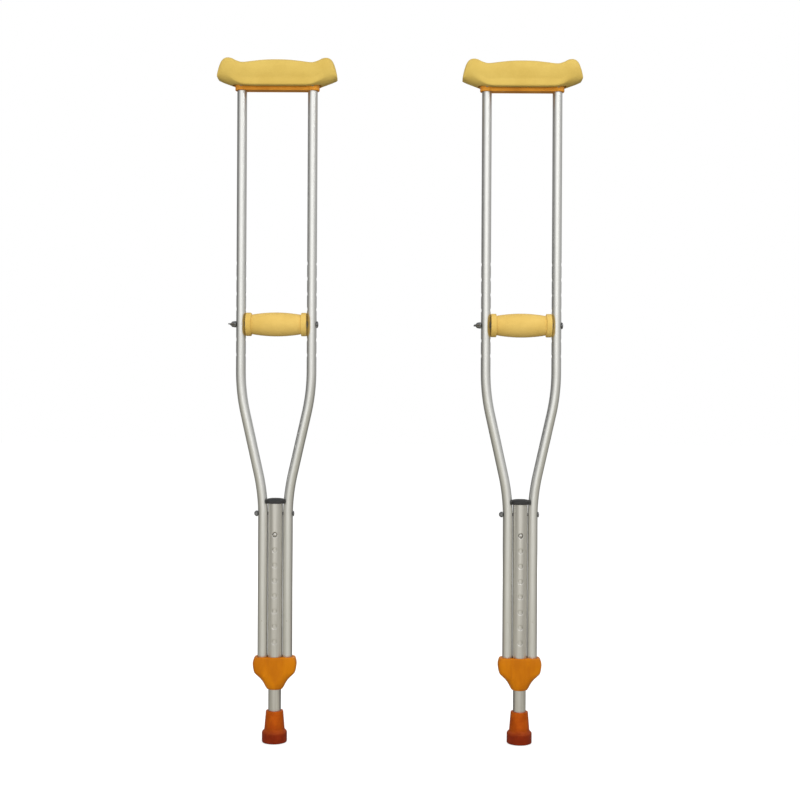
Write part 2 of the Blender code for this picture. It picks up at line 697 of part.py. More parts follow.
def build_rivet(prefix, side, parent):
    """A rivet through a socket and the bow inside it, with a low dome at each end."""
    grip = SOCKET_BOSS_RADIUS + FIT
    shank = RIVET_DIAMETER / 2
    near = dome(RIVET_HEAD_DIAMETER / 2, grip, RIVET_HEAD_HEIGHT)
    far = [(radius, -z) for radius, z in reversed(near)]
    rivet = turned("rivet", near + [(shank, grip), (shank, -grip)] + far, BOLT_SIDES)
    piece = "rivet_head_side" if side > 0 else "rivet_nut_side"
    place(as_part(rivet, prefix, piece, ZINC), parent, (side * BOW_SPREAD, 0, RIVET_Z), ALONG_Y)


def pad_station(along, depth_share, lip_share, top_share):
    """One section of the pad's cage, as points (x, y, z) from the middle of its underside round."""
    x = along * PAD_HALF_LENGTH
    depth = depth_share * PAD_HALF_DEPTH * PAD_CAGE_SWELL
    lip = lip_share * PAD_HEIGHT
    top = top_share * PAD_HEIGHT
    rise = top - lip
    half = [
        (0, lip),
        (0.62 * depth, lip),
        (0.86 * depth, lip + 0.03 * rise),
        (depth, lip + 0.36 * rise),
        (0.92 * depth, lip + 0.74 * rise),
        (0.56 * depth, lip + 0.97 * rise),
        (0, top),
    ]
    ring = half + [(-y, z) for y, z in reversed(half[1:-1])]
    return [(x, y, z) for y, z in ring]


def pad_cage():
    """Sections along the pad: crowned middle, a dip over each bow, and a raised horn at each end."""
    half = [
        (0.000, 1.00, 0.000, 1.000),
        (0.230, 1.00, 0.000, 0.985),
        (0.440, 1.00, 0.000, 0.935),
        (0.600, 1.00, 0.010, 0.875),
        (0.715, 1.00, 0.050, 0.950),
        (0.825, 1.00, 0.130, 1.110),
        (0.915, 0.97, 0.225, 1.065),
        (0.975, 0.86, 0.320, 0.830),
        (1.000, 0.64, 0.390, 0.600),
    ]
    mirrored = [(-row[0], *row[1:]) for row in reversed(half[1:])]
    return [pad_station(*row) for row in mirrored + half]


def build_pad(prefix, parent):
    """The moulded foam saddle, hollow underneath where it slips over the crossbar's flange."""
    pad = loft("pad", pad_cage())
    soft = pad.modifiers.new("soft", "SUBSURF")
    soft.levels = 1
    soft.render_levels = 1
    ceiling = CROSSBAR_TOP + FLANGE_HEIGHT + FIT - PAD_LIP_Z
    outline = slot_outline(FLANGE_HALF_LENGTH + FIT, FLANGE_HALF_DEPTH + FIT)
    cavity = plate(f"{prefix}_pad_cavity", outline, 2 * ceiling)
    boolean(pad, place(as_cutter(cavity), parent, (0, 0, PAD_LIP_Z)))
    place(as_part(pad, prefix, "underarm_pad", YELLOW_FOAM), parent, (0, 0, PAD_LIP_Z))


# Hand grip

def build_grip(prefix, parent):
    """A turned grip: a collar at each end, and a barrel that swells to its middle."""
    collar = GRIP_COLLAR_DIAMETER / 2
    neck = GRIP_NECK_DIAMETER / 2
    swell = (GRIP_BELLY_DIAMETER - GRIP_NECK_DIAMETER) / 2
    barrel_end = GRIP_HALF_LENGTH - GRIP_COLLAR_WIDTH
    upper = [
        (collar - GRIP_EDGE, GRIP_HALF_LENGTH),
        (collar, GRIP_HALF_LENGTH - GRIP_EDGE),
        (collar, barrel_end + GRIP_EDGE),
        (collar - GRIP_EDGE, barrel_end),
    ]
    steps = 8
    places = [1 - 2 * i / steps for i in range(steps + 1)]
    barrel = [(neck + swell * math.cos(math.pi / 2 * p) ** 0.8, (barrel_end - GRIP_EDGE) * p) for p in places]
    lower = [(radius, -z) for radius, z in reversed(upper)]
    bore = CORE_DIAMETER / 2 + FIT
    profile = upper + barrel + lower + [(bore, -GRIP_HALF_LENGTH), (bore, GRIP_HALF_LENGTH)]
    grip = turned("grip", profile, TUBE_SIDES, closed=True)
    place(as_part(grip, prefix, "hand_grip", YELLOW_FOAM), parent, rotation=ALONG_X)
    core = straight_tube(
        "core", CORE_DIAMETER / 2, CORE_BORE_RADIUS, GRIP_HALF_LENGTH, -GRIP_HALF_LENGTH, TUBE_SIDES
    )
    place(as_part(core, prefix, "grip_core", GREY_PLASTIC), parent, rotation=ALONG_X)


def headed_bolt(name, shank_diameter, head_diameter, head_height, bearing, end):
    """A domed bolt head on a plain shank, from its bearing face down to its chamfered end."""
    shank = shank_diameter / 2
    chamfer = shank / 5
    rim = head_height / 4
    profile = dome(head_diameter / 2, bearing + rim, head_height - rim)
    profile += [(head_diameter / 2, bearing), (shank, bearing), (shank, end + chamfer)]
    profile += [(shank - chamfer, end), (0, end)]
    return turned(name, profile, BOLT_SIDES)


def build_grip_bolt(prefix, parent):
    end = -(GRIP_BEARING + NUT_HUB_LENGTH + BOLT_END_PROUD)
    bolt = headed_bolt("bolt", GRIP_BOLT_DIAMETER, GRIP_HEAD_DIAMETER, GRIP_HEAD_HEIGHT, GRIP_BEARING, end)
    place(as_part(bolt, prefix, "grip_bolt", ZINC), parent, rotation=ALONG_X)


def wings_outline():
    """Both wings across the hub: arms that rise outwards to a round lobe."""
    root = GRIP_BOLT_DIAMETER / 2 + NUT_HUB_TOP_WALL
    low = 0.15 * NUT_HUB_LENGTH
    high = 0.85 * NUT_HUB_LENGTH
    lobe_centre = (NUT_WING_REACH - NUT_WING_LOBE, NUT_WING_HEIGHT - NUT_WING_LOBE)
    side = [(root, low), (1.7 * root, 1.6 * low), *arc(lobe_centre, NUT_WING_LOBE, -35, 150, 6), (root, high)]
    return side + [(-y, z) for y, z in reversed(side)]


def build_wing_nut(prefix, parent):
    """The wing nut. Its local Z points away from the tube it bears on."""
    base = GRIP_BOLT_DIAMETER / 2 + NUT_HUB_WALL
    crown = GRIP_BOLT_DIAMETER / 2 + NUT_HUB_TOP_WALL
    shoulder = 0.3 * NUT_HUB_LENGTH
    hub_profile = [(0, NUT_HUB_LENGTH), (crown, NUT_HUB_LENGTH), (base, shoulder), (base, 0), (0, 0)]
    nut = turned("nut", hub_profile, BOLT_SIDES)
    wings = plate(f"{prefix}_wings", wings_outline(), NUT_WING_THICKNESS)
    wings.data.transform(Matrix(((0, 0, 1, 0), (1, 0, 0, 0), (0, 1, 0, 0), (0, 0, 0, 1))))
    top = NUT_HUB_LENGTH + CUT_PAST
    bore = rod(f"{prefix}_nut_bore", GRIP_BOLT_DIAMETER / 2 + FIT, top, -CUT_PAST, BOLT_SIDES)
    for helper, operation in ((wings, "UNION"), (bore, "DIFFERENCE")):
        place(as_cutter(helper), parent, rotation=ALONG_MINUS_X)
        boolean(nut, helper, operation)
    place(as_part(nut, prefix, "wing_nut", ZINC), parent, rotation=ALONG_MINUS_X)


# Frame bolt

def build_frame_bolt(prefix, parent):
    """The cross bolt through both bows and the sleeve, and the cap nut on its left end."""
    bearing = bow_x(FRAME_BOLT_Z) + BOW_DIAMETER / 2 + FIT
    end = -(bearing + FRAME_NUT_HEIGHT - FIT)
    bolt = headed_bolt(
        "frame_bolt", FRAME_BOLT_DIAMETER, FRAME_HEAD_DIAMETER, FRAME_HEAD_HEIGHT, bearing, end
    )
    place(as_part(bolt, prefix, "frame_bolt", ZINC), parent, (0, 0, FRAME_BOLT_Z), ALONG_X)
    seat = (-bearing, 0, FRAME_BOLT_Z)
    bm = bmesh.new()
    corner = FRAME_NUT_FLATS / 2 / math.cos(math.pi / 6)
    bmesh.ops.create_cone(
        bm,
        cap_ends=True,
        segments=6,
        radius1=corner,
        radius2=corner,
        depth=FRAME_NUT_HEIGHT,
        matrix=Matrix.Translation((0, 0, FRAME_NUT_HEIGHT / 2)),
    )
    nut = mesh_object("cap_nut", bm)
    crown_radius = 0.94 * FRAME_NUT_FLATS / 2
    crown_base = FRAME_NUT_HEIGHT - BOLT_HOLE_CLEARANCE
    crown = turned(
        f"{prefix}_nut_crown",
        dome(crown_radius, FRAME_NUT_HEIGHT, FRAME_NUT_DOME) + [(crown_radius, crown_base), (0, crown_base)],
        BOLT_SIDES,
    )
    bore_radius = FRAME_BOLT_DIAMETER / 2 + FIT
    bore = rod(f"{prefix}_cap_nut_bore", bore_radius, FRAME_NUT_HEIGHT, -CUT_PAST, BOLT_SIDES)
    for helper, operation in ((crown, "UNION"), (bore, "DIFFERENCE")):
        place(as_cutter(helper), parent, seat, ALONG_MINUS_X)
        boolean(nut, helper, operation)
    place(as_part(nut, prefix, "frame_nut", ZINC), parent, seat, ALONG_MINUS_X)


# Assembly

def build_crutch(prefix, x):
    """One crutch, its fixed pieces under one empty and each moving group under an empty on its joint."""
    crutch = add_empty(f"{prefix}_crutch", location=(x, 0, 0))
    leg = add_empty(f"{prefix}_leg_slide", crutch, (0, 0, TOP_HOLE_Z))
    front = add_empty(f"{prefix}_front_button_slide", leg)
    back = add_empty(f"{prefix}_back_button_slide", leg)
    grip = add_empty(f"{prefix}_grip_slide", crutch, (0, 0, GRIP_Z))
    nut = add_empty(f"{prefix}_wing_nut_turn", grip, (-GRIP_BEARING, 0, 0))
    bow_spaces = [bow_space(prefix, side, crutch) for side in (-1, 1)]
    build_pad(prefix, crutch)
    build_crossbar(prefix, crutch, bow_spaces)
    for side in (-1, 1):
        build_rivet(prefix, side, crutch)
        build_bow(prefix, side, crutch)
    build_sleeve_cap(prefix, crutch, bow_spaces)
    build_sleeve(prefix, crutch)
    build_frame_bolt(prefix, crutch)
    build_bracket(prefix, crutch, bow_spaces)
    build_leg_tube(prefix, leg)
    build_spring(prefix, leg)
    build_tip(prefix, leg)
    build_button(prefix, "front_button", front, ALONG_MINUS_Y)
    build_button(prefix, "back_button", back, ALONG_Y)
    build_grip(prefix, grip)
    build_grip_bolt(prefix, grip)
    build_wing_nut(prefix, nut)


clear_scene()
PARTS = new_collection("pair_of_crutches")
CUTTERS = new_collection("cutters")
build_crutch("left", -PAIR_SPACING / 2)
build_crutch("right", PAIR_SPACING / 2)
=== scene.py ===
# %% [markdown]
# # A pair of underarm crutches
# The construction is fixed before this lesson starts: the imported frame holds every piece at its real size, and
# says how each one moves. What is left is the craft of the surfaces: round drawn tubes with drilled holes,
# glossy moulded plastic, amber gum rubber and soft yellow foam. All sizes are in metres, +Z is up, and the
# crutches stand on the floor at z = 0.

# %% Load the frame
import json
import math

import bmesh
import bpy
import numpy as np
from mathutils import Euler, Matrix, Vector
from mathutils.bvhtree import BVHTree
from mathutils.interpolate import poly_3d_calc


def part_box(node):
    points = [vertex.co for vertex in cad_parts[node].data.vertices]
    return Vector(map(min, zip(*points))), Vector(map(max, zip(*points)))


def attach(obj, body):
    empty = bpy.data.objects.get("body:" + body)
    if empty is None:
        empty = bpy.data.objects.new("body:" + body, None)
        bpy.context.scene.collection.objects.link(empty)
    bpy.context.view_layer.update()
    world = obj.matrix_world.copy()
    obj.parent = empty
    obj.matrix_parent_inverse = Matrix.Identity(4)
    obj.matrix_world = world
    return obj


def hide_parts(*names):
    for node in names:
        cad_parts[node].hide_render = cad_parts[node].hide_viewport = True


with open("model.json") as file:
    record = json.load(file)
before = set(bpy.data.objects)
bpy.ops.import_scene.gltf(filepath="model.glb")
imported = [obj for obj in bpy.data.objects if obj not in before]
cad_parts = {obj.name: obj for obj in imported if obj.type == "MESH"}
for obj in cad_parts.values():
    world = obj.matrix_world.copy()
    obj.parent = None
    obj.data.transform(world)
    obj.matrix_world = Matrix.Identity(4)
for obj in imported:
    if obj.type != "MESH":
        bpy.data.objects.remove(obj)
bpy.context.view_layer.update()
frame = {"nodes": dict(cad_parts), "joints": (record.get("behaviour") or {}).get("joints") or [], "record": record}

# %% [markdown]
# ## Where things are
# Both crutches are the same product, so each piece is shaped once, about a crutch's own middle, and copied to
# the two places. The sizes that the frame can tell are read from it and not typed again: a tube's box gives
# its radius and its ends, and a joint's range gives how many holes the tube needs.

# %% Read the places from the frame
SIDES = ("left", "right")
BODY_OF = {node: body for body, nodes in frame["record"]["behaviour"]["bodies"].items() for node in nodes}
RANGE_OF = {joint["name"]: joint["range_m"] for joint in frame["joints"] if "range_m" in joint}


def middle_of(side):
    low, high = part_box(f"{side}_leg_tube")
    return (low.x + high.x) / 2


MIDDLE = {side: middle_of(side) for side in SIDES}


def own_box(piece):
    """A piece's lowest and highest corners, measured from its own crutch's middle."""
    low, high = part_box(f"left_{piece}")
    shift = Vector((MIDDLE["left"], 0, 0))
    return low - shift, high - shift


def own_height(piece):
    low, high = own_box(piece)
    return (low.z + high.z) / 2


sleeve_low, sleeve_high = own_box("centre_sleeve")
leg_low, leg_high = own_box("leg_tube")
bow_low, bow_high = own_box("bow_head_side")
bracket_low, bracket_high = own_box("bottom_bracket")
crossbar_low, crossbar_high = own_box("crossbar")
_, tip_high = own_box("rubber_tip")
_, grip_high = own_box("hand_grip")

SLEEVE_RADIUS = sleeve_high.x
LEG_RADIUS = leg_high.x
BOW_RADIUS = bow_high.y
BOW_SPREAD = bow_high.x - BOW_RADIUS
BUTTON_Z = own_height("front_button")
FRAME_BOLT_Z = own_height("frame_bolt")
RIVET_Z = own_height("rivet_head_side")
GRIP_Z = own_height("hand_grip")
print(f"tubes: bow {2000 * BOW_RADIUS:.1f}, sleeve {2000 * SLEEVE_RADIUS:.1f}, leg {2000 * LEG_RADIUS:.1f} mm")
print(f"grip at {GRIP_Z:.4f}, buttons at {BUTTON_Z:.4f}, frame bolt at {FRAME_BOLT_Z:.4f}")

# %% [markdown]
# ## Tools for shapes
# Most of these pieces are turned, drawn or moulded, so one idea makes nearly all of them: a skin over a stack
# of rings. A ring of one point is a pole, which closes the skin without a loose cap. Corners are softened in
# the outline itself, because a real moulding or a real casting has no perfectly sharp edge to catch light.

# %% Skins, lathes and soft corners
ROUND = 96
BROAD_ROUND = 128
SMALL_ROUND = 48
DOME_STEPS = 10
FILLET_LIMIT = 0.48


def add_object(name, mesh):
    obj = bpy.data.objects.new(name, mesh)
    bpy.context.scene.collection.objects.link(obj)
    return obj


def object_from(name, bm):
    """A bmesh as an object, its faces turned outwards and shaded smooth."""
    bmesh.ops.recalc_face_normals(bm, faces=bm.faces)
    mesh = bpy.data.meshes.new(name)
    bm.to_mesh(mesh)
    bm.free()
    mesh.shade_smooth()
    return add_object(name, mesh)


def stitch(bm, lower, upper):
    """Faces between two rings, either of which may be a pole."""
    count = max(len(lower), len(upper))
    for i in range(count):
        j = (i + 1) % count
        corners = (lower[i % len(lower)], lower[j % len(lower)], upper[j % len(upper)], upper[i % len(upper)])
        bm.faces.new(list(dict.fromkeys(corners)))


def skin(name, rings, closed=False, lids=False):
    """A smooth surface through rings of points; closed joins its ends, and lids shut them with flat faces."""
    bm = bmesh.new()
    loops = [[bm.verts.new(point) for point in ring] for ring in rings]
    pairs = list(zip(loops, loops[1:]))
    if closed:
        pairs.append((loops[-1], loops[0]))
    for lower, upper in pairs:
        stitch(bm, lower, upper)
    if lids:
        bm.faces.new(loops[0])
        bm.faces.new(loops[-1])
    return object_from(name, bm)


def circle(radius, height, sides=ROUND, shift=0.0):
    if radius == 0:
        return [(0, 0, height)]
    angles = [2 * math.pi * (i + shift) / sides for i in range(sides)]
    return [(radius * math.cos(a), radius * math.sin(a), height) for a in angles]


def lathe(name, profile, sides=ROUND, closed=False):
    """A profile of (radius, height) points turned round local Z."""
    return skin(name, [circle(radius, height, sides) for radius, height in profile], closed)


def plug(radius, low, high, sides=ROUND):
    """A plain round cutter along local Z."""
    return lathe("plug", [(0, low), (radius, low), (radius, high), (0, high)], sides)


def soften(corners, steps=6):
    """An open outline of (a, b) or (a, b, fillet) points, each fillet drawn as a small parabola."""
    points = []
    for i, corner in enumerate(corners):
        here = Vector(corner[:2])
        if len(corner) == 2 or i in (0, len(corners) - 1):
            points.append(tuple(here))
            continue
        before = Vector(corners[i - 1][:2]) - here
        after = Vector(corners[i + 1][:2]) - here
        reach = min(corner[2], FILLET_LIMIT * before.length, FILLET_LIMIT * after.length)
        start = here + before.normalized() * reach
        end = here + after.normalized() * reach
        for k in range(steps + 1):
            t = k / steps
            points.append(tuple((1 - t) ** 2 * start + 2 * t * (1 - t) * here + t ** 2 * end))
    return points


def quarter_turn(steps):
    """The angles from 0 to a right angle, in even steps."""
    return [math.pi / 2 * i / steps for i in range(steps + 1)]


def dome(radius, base, height):
    """Profile points from the crown of a dome, on the axis, to its rim."""
    return [(radius * math.sin(a), base + height * math.cos(a)) for a in quarter_turn(DOME_STEPS)]


def turn(obj, rotation=None, place=(0, 0, 0)):
    """Turns and moves the mesh itself, so that the object stays at the origin."""
    matrix = Matrix.Translation(place)
    if rotation:
        matrix = matrix @ rotation.to_matrix().to_4x4()
    obj.data.transform(matrix)
    return obj


ALONG_X = Euler((0, math.pi / 2, 0))
ACROSS_X = Matrix(((0, 0, 1), (1, 0, 0), (0, 1, 0))).to_euler()
ALONG_MINUS_X = Euler((0, -math.pi / 2, 0))
ALONG_Y = Euler((-math.pi / 2, 0, 0))
ALONG_MINUS_Y = Euler((math.pi / 2, 0, 0))
print("a turned piece has", ROUND, "sides, a broad one", BROAD_ROUND, "and a small one", SMALL_ROUND)

# %% [markdown]
# ## Cutting without spoiling the shine
# A Boolean leaves long thin faces beside every hole, and smooth shading then bends the reflections there. The
# cure is to remember the shapes that went in. After the cut, the mesh is triangulated, and each triangle takes
# the corner normals of the face that it came from, on the body or on the cutter. Polished tube is the finish
# that shows every error in a normal, so this is worth the few lines.

# %% Booleans that keep the smooth normals
SAME_SURFACE = 2e-5
SAME_WAY = 0.95


def settle(obj):
    """Makes what the modifiers show into the object's own mesh, and removes them."""
    graph = bpy.context.evaluated_depsgraph_get()
    mesh = bpy.data.meshes.new_from_object(obj.evaluated_get(graph))
    obj.modifiers.clear()
    obj.data = mesh
    return obj


class Source:
    """A shape as it was before the cut, ready to be asked for its smooth normal at a point."""

    def __init__(self, mesh):
        self.mesh = mesh
        self.points = [v.co.copy() for v in mesh.vertices]
        self.corners = [c.vector.copy() for c in mesh.corner_normals]
        self.tree = BVHTree.FromPolygons(self.points, [p.vertices[:] for p in mesh.polygons])

    def face_at(self, point, normal):
        """(polygon, sign) of the face that a triangle lies on, or None."""
        _, face_normal, index, distance = self.tree.find_nearest(point)
        if index is None or distance > SAME_SURFACE:
            return None
        along = face_normal.dot(normal)
        if abs(along) < SAME_WAY:
            return None
        return self.mesh.polygons[index], math.copysign(1, along)

    def normal_at(self, face, sign, point):
        weights = poly_3d_calc([self.points[v] for v in face.vertices], point)
        total = Vector()
        for weight, corner in zip(weights, face.loop_indices):
            total += weight * self.corners[corner]
        return sign * total.normalized()


def copy_normals(obj, sources):
    """Gives each corner of a cut mesh the smooth normal of the surface that it was cut from."""
    mesh = obj.data
    normals = [Vector(c.vector) for c in mesh.corner_normals]
    for face in mesh.polygons:
        for source in sources:
            found = source.face_at(face.center, face.normal)
            if found:
                for corner in face.loop_indices:
                    point = mesh.vertices[mesh.loops[corner].vertex_index].co
                    normals[corner] = source.normal_at(*found, point)
                break
        else:
            for corner in face.loop_indices:
                normals[corner] = face.normal.copy()
    mesh.normals_split_custom_set(normals)


def triangulate(mesh):
    bm = bmesh.new()
    bm.from_mesh(mesh)
    bmesh.ops.triangulate(bm, faces=bm.faces)
    bm.to_mesh(mesh)
    bm.free()


def mark_edges(mesh, degrees):
    """Smooth shading, apart from edges whose faces meet at more than an angle."""
    mesh.shade_smooth()
    mesh.set_sharp_from_angle(angle=math.radians(degrees))


def combine(obj, helpers, operation="DIFFERENCE"):
    """Cuts the helpers from an object, or joins them to it, and removes them."""
    sources = [Source(shape.data) for shape in (obj, *helpers)]
    for helper in helpers:
        modifier = obj.modifiers.new("combine", "BOOLEAN")
        modifier.operation = operation
        modifier.object = helper
    settle(obj)
    triangulate(obj.data)
    obj.data.shade_smooth()
    copy_normals(obj, sources)
    for helper in helpers:
        bpy.data.objects.remove(helper, do_unlink=True)
    return obj


def crisp(obj, degrees=35):
    """Smooth shading with true edges, weighted so that broad faces stay flat beside their fillets."""
    mark_edges(obj.data, degrees)
    weighted = obj.modifiers.new("weighted", "WEIGHTED_NORMAL")
    weighted.keep_sharp = True
    return settle(obj)


print("a face lies on a surface that is within", 1000 * SAME_SURFACE, "mm")

# %% [markdown]
# ## Node trees from plain Python
# Both shaders and Geometry Nodes are graphs, and both read better as sums than as boxes and wires. One small
# class wraps a socket and gives it the ordinary operators, so an expression adds its own Math nodes. Every
# other node comes from one method, which sets a node's settings first, because they decide what sockets it has.

# %% A socket that does arithmetic, and a graph that adds nodes
def find_socket(sockets, key):
    """The usable socket with this name, identifier or place in the list."""
    usable = [socket for socket in sockets if socket.enabled]
    if isinstance(key, int):
        return usable[key]
    return next(socket for socket in usable if key in (socket.identifier, socket.name))


class Term:
    """One output of a node. Arithmetic on it adds the Math nodes that work it out."""

    def __init__(self, graph, socket):
        self.graph = graph
        self.socket = socket

    def math(self, operation, first, second):
        return self.graph.add("ShaderNodeMath", {"operation": operation}, {0: first, 1: second})

    def __add__(self, other):
        return self.math("ADD", self, other)

    def __radd__(self, other):
        return self.math("ADD", other, self)

    def __sub__(self, other):
        return self.math("SUBTRACT", self, other)

    def __rsub__(self, other):
        return self.math("SUBTRACT", other, self)

    def __mul__(self, other):
        return self.math("MULTIPLY", self, other)

    def __rmul__(self, other):
        return self.math("MULTIPLY", other, self)

    def __truediv__(self, other):
        return self.math("DIVIDE", self, other)


class Graph:
    """A node tree, with one method that adds any node to it."""

    def __init__(self, tree):
        self.tree = tree

    def add(self, kind, settings=None, inputs=None, output=0):
        node = self.tree.nodes.new(kind)
        for name, value in (settings or {}).items():
            if name == "stops":
                self.fill_ramp(node.color_ramp, value)
            else:
                setattr(node, name, value)
        for key, value in (inputs or {}).items():
            self.feed(find_socket(node.inputs, key), value)
        return Term(self, find_socket(node.outputs, output))

    def feed(self, socket, value):
        if isinstance(value, Term):
            self.tree.links.new(value.socket, socket)
        elif socket.type == "RGBA" and len(value) == 3:
            socket.default_value = (*value, 1)
        else:
            socket.default_value = value

    def fill_ramp(self, ramp, stops):
        """A ramp's stops, each (place, grey value)."""
        while len(ramp.elements) < len(stops):
            ramp.elements.new(1)
        for element, (place, grey) in zip(ramp.elements, stops):
            element.position = place
            element.color = (grey, grey, grey, 1)

    def axis(self, vector, letter):
        return self.add("ShaderNodeSeparateXYZ", inputs={"Vector": vector}, output=letter)

    def range(self, value, low, high, to_low=0.0, to_high=1.0):
        """A value's way from low to high, eased at both ends."""
        inputs = {"Value": value, "From Min": low, "From Max": high, "To Min": to_low, "To Max": to_high}
        return self.add("ShaderNodeMapRange", {"interpolation_type": "SMOOTHSTEP"}, inputs)


class NodeTool:
    """A Geometry Nodes tree with named inputs, run on a mesh to make another plain mesh."""

    def __init__(self, name, inputs):
        self.tree = bpy.data.node_groups.new(name, "GeometryNodeTree")
        self.tree.is_modifier = True
        self.graph = Graph(self.tree)
        face = self.tree.interface
        face.new_socket(name="Geometry", in_out="INPUT", socket_type="NodeSocketGeometry")
        for label, kind in inputs.items():
            face.new_socket(name=label, in_out="INPUT", socket_type=f"NodeSocket{kind}")
        face.new_socket(name="Geometry", in_out="OUTPUT", socket_type="NodeSocketGeometry")
        self.entry = self.tree.nodes.new("NodeGroupInput")

    def given(self, label):
        return Term(self.graph, self.entry.outputs[label])

    def ends_with(self, geometry):
        """Every tree ends the same way: instances made real, and the finish set."""
        real = self.graph.add("GeometryNodeRealizeInstances", inputs={"Geometry": geometry})
        painted = self.graph.add(
            "GeometryNodeSetMaterial", inputs={"Geometry": real, "Material": self.given("Material")}
        )
        leave = self.tree.nodes.new("NodeGroupOutput")
        self.graph.feed(leave.inputs["Geometry"], painted)

    def run(self, name, mesh, **values):
        obj = add_object(name, mesh)
        modifier = obj.modifiers.new("nodes", "NODES")
        modifier.node_group = self.tree
        for item in self.tree.interface.items_tree:
            key = item.name.replace(" ", "_").lower()
            if item.in_out == "INPUT" and key in values:
                modifier[item.identifier] = values[key]
        return settle(obj)


print("graph helpers are ready")

# %% [markdown]
# ## Finishes
# A finish is a Principled shader with its constants set on its own sockets, and its pattern fed in as terms.
# Every pattern is sized in metres on the object's own coordinates, so a grain stays a grain when the camera
# comes closer, and nothing slides when a leg is drawn out.

# %% A finish, and colours as they look on screen
def srgb(red, green, blue):
    """A colour given as 0 to 255 on screen, as the linear values that a shader wants."""
    shares = [channel / 255 for channel in (red, green, blue)]
    return tuple(c / 12.92 if c <= 0.04045 else ((c + 0.055) / 1.055) ** 2.4 for c in shares)


class Finish(Graph):
    """A material with one Principled shader."""

    def __init__(self, name, constants):
        self.material = bpy.data.materials.new(name)
        self.material.use_nodes = True
        super().__init__(self.material.node_tree)
        self.shader = self.tree.nodes["Principled BSDF"]
        for socket, value in constants.items():
            self.set(socket, value)

    def set(self, socket, value):
        self.feed(self.shader.inputs[socket], value)

    def place(self):
        return self.add("ShaderNodeTexCoord", output="Object")

    def noise(self, place, scale, detail, roughness):
        """Noise of one scale, or of a scale for each axis."""
        if isinstance(scale, tuple):
            place = self.add("ShaderNodeMapping", inputs={"Vector": place, "Scale": scale})
            scale = 1.0
        inputs = {"Vector": place, "Scale": scale, "Detail": detail, "Roughness": roughness}
        return self.add("ShaderNodeTexNoise", inputs=inputs)

    def cells(self, place, scale, output):
        return self.add("ShaderNodeTexVoronoi", inputs={"Vector": place, "Scale": scale}, output=output)

    def mix(self, factor, first, second):
        settings = {"data_type": "RGBA", "clamp_factor": True}
        return self.add("ShaderNodeMix", settings, {"Factor": factor, "A": first, "B": second})

    def bump(self, height, distance, strength, under=None):
        inputs = {"Height": height, "Distance": distance, "Strength": strength}
        if under is not None:
            inputs["Normal"] = under
        return self.add("ShaderNodeBump", inputs=inputs)


print("middle grey on screen is", round(srgb(128, 128, 128)[0], 3), "of the light")

# %% [markdown]
# ### Drawn aluminium
# These tubes are pulled through a die, which leaves faint lines along their length and nothing across it. The
# noise is therefore stretched hard along the tube. A bent tube needs coordinates that bend with it, so each
# tube carries an attribute, tube_place, which says where a point would be if the tube were straight.

# %% Drawn aluminium
def drawn_aluminium(name, colour, shade, roughness):
    finish = Finish(name, {"Metallic": 1.0})
    place = finish.add("ShaderNodeAttribute", {"attribute_name": "tube_place"}, output="Vector")
    lines = finish.noise(place, (900, 900, 9), 4.0, 0.6)
    bands = finish.noise(place, (160, 160, 2.5), 2.0, 0.5)
    cloud = finish.noise(place, 38.0, 3.0, 0.6)
    tone = finish.range(0.5 * lines + 0.5 * bands, 0.35, 0.65)
    finish.set("Base Color", finish.mix(tone, shade, colour))
    finish.set("Roughness", roughness + 0.10 * (lines - 0.5) + 0.12 * (cloud - 0.5))
    finish.set("Normal", finish.bump(lines, 0.00002, 0.6))
    return finish.material


BOW_METAL = drawn_aluminium("bright_aluminium", srgb(243, 243, 239), srgb(228, 228, 224), 0.31)
LEG_METAL = drawn_aluminium("satin_aluminium", srgb(234, 232, 226), srgb(214, 212, 206), 0.36)
print("finishes:", BOW_METAL.name, LEG_METAL.name)

# %% [markdown]
# ### Yellow foam
# The pad and the grip are foam with a moulded skin: matt, a little mottled, and full of fine closed pores. A
# cell texture gives the pores and a noise the mottling. Foam hardly shines, so its specular level is low.

# %% Yellow foam
def yellow_foam(name, light, dark):
    finish = Finish(name, {"Specular IOR Level": 0.15})
    place = finish.place()
    cloud = finish.noise(place, 26.0, 4.0, 0.6)
    speckle = finish.noise(place, 900.0, 2.0, 0.7)
    pits = finish.range(finish.cells(place, 1400.0, "Distance"), 0.05, 0.45)
    finish.set("Base Color", finish.mix(finish.range(0.65 * cloud + 0.35 * speckle, 0.3, 0.7), dark, light))
    finish.set("Roughness", 0.52 + 0.16 * (1 - pits) + 0.10 * (cloud - 0.5))
    grain = finish.bump(speckle, 0.00012, 0.35)
    finish.set("Normal", finish.bump(pits, 0.00010, 0.5, grain))
    return finish.material


PAD_FOAM = yellow_foam("pad_foam", srgb(220, 190, 100), srgb(207, 175, 86))
GRIP_FOAM = yellow_foam("grip_foam", srgb(228, 193, 106), srgb(215, 178, 90))
print("finishes:", PAD_FOAM.name, GRIP_FOAM.name)

# %% [markdown]
# ### Moulded plastics
# Injection-moulded plastic takes the grain of its mould, a fine even ripple, and shows faint flow marks where the
# melt met. The orange has a thin clear gloss over a saturated body; black and grey are plainer. The crossbar's
# copy of the orange is painted lighter and yellower: painted light bounced down from the yellow pad, which also
# lifts the pad's shade on it.

# %% Moulded plastics
def moulded_plastic(name, colour, shade, roughness, coat=0.0, shine=0.15):
    finish = Finish(name, {"Coat Weight": coat, "Coat Roughness": 0.25, "Specular IOR Level": shine})
    place = finish.place()
    flow = finish.noise(place, (34, 34, 14), 3.0, 0.6)
    ripple = finish.noise(place, 1500.0, 2.0, 0.5)
    finish.set("Base Color", finish.mix(finish.range(flow, 0.32, 0.68), shade, colour))
    finish.set("Roughness", roughness + 0.12 * (flow - 0.5) + 0.06 * (ripple - 0.5))
    finish.set("Normal", finish.bump(ripple, 0.00004, 0.5))
    return finish.material


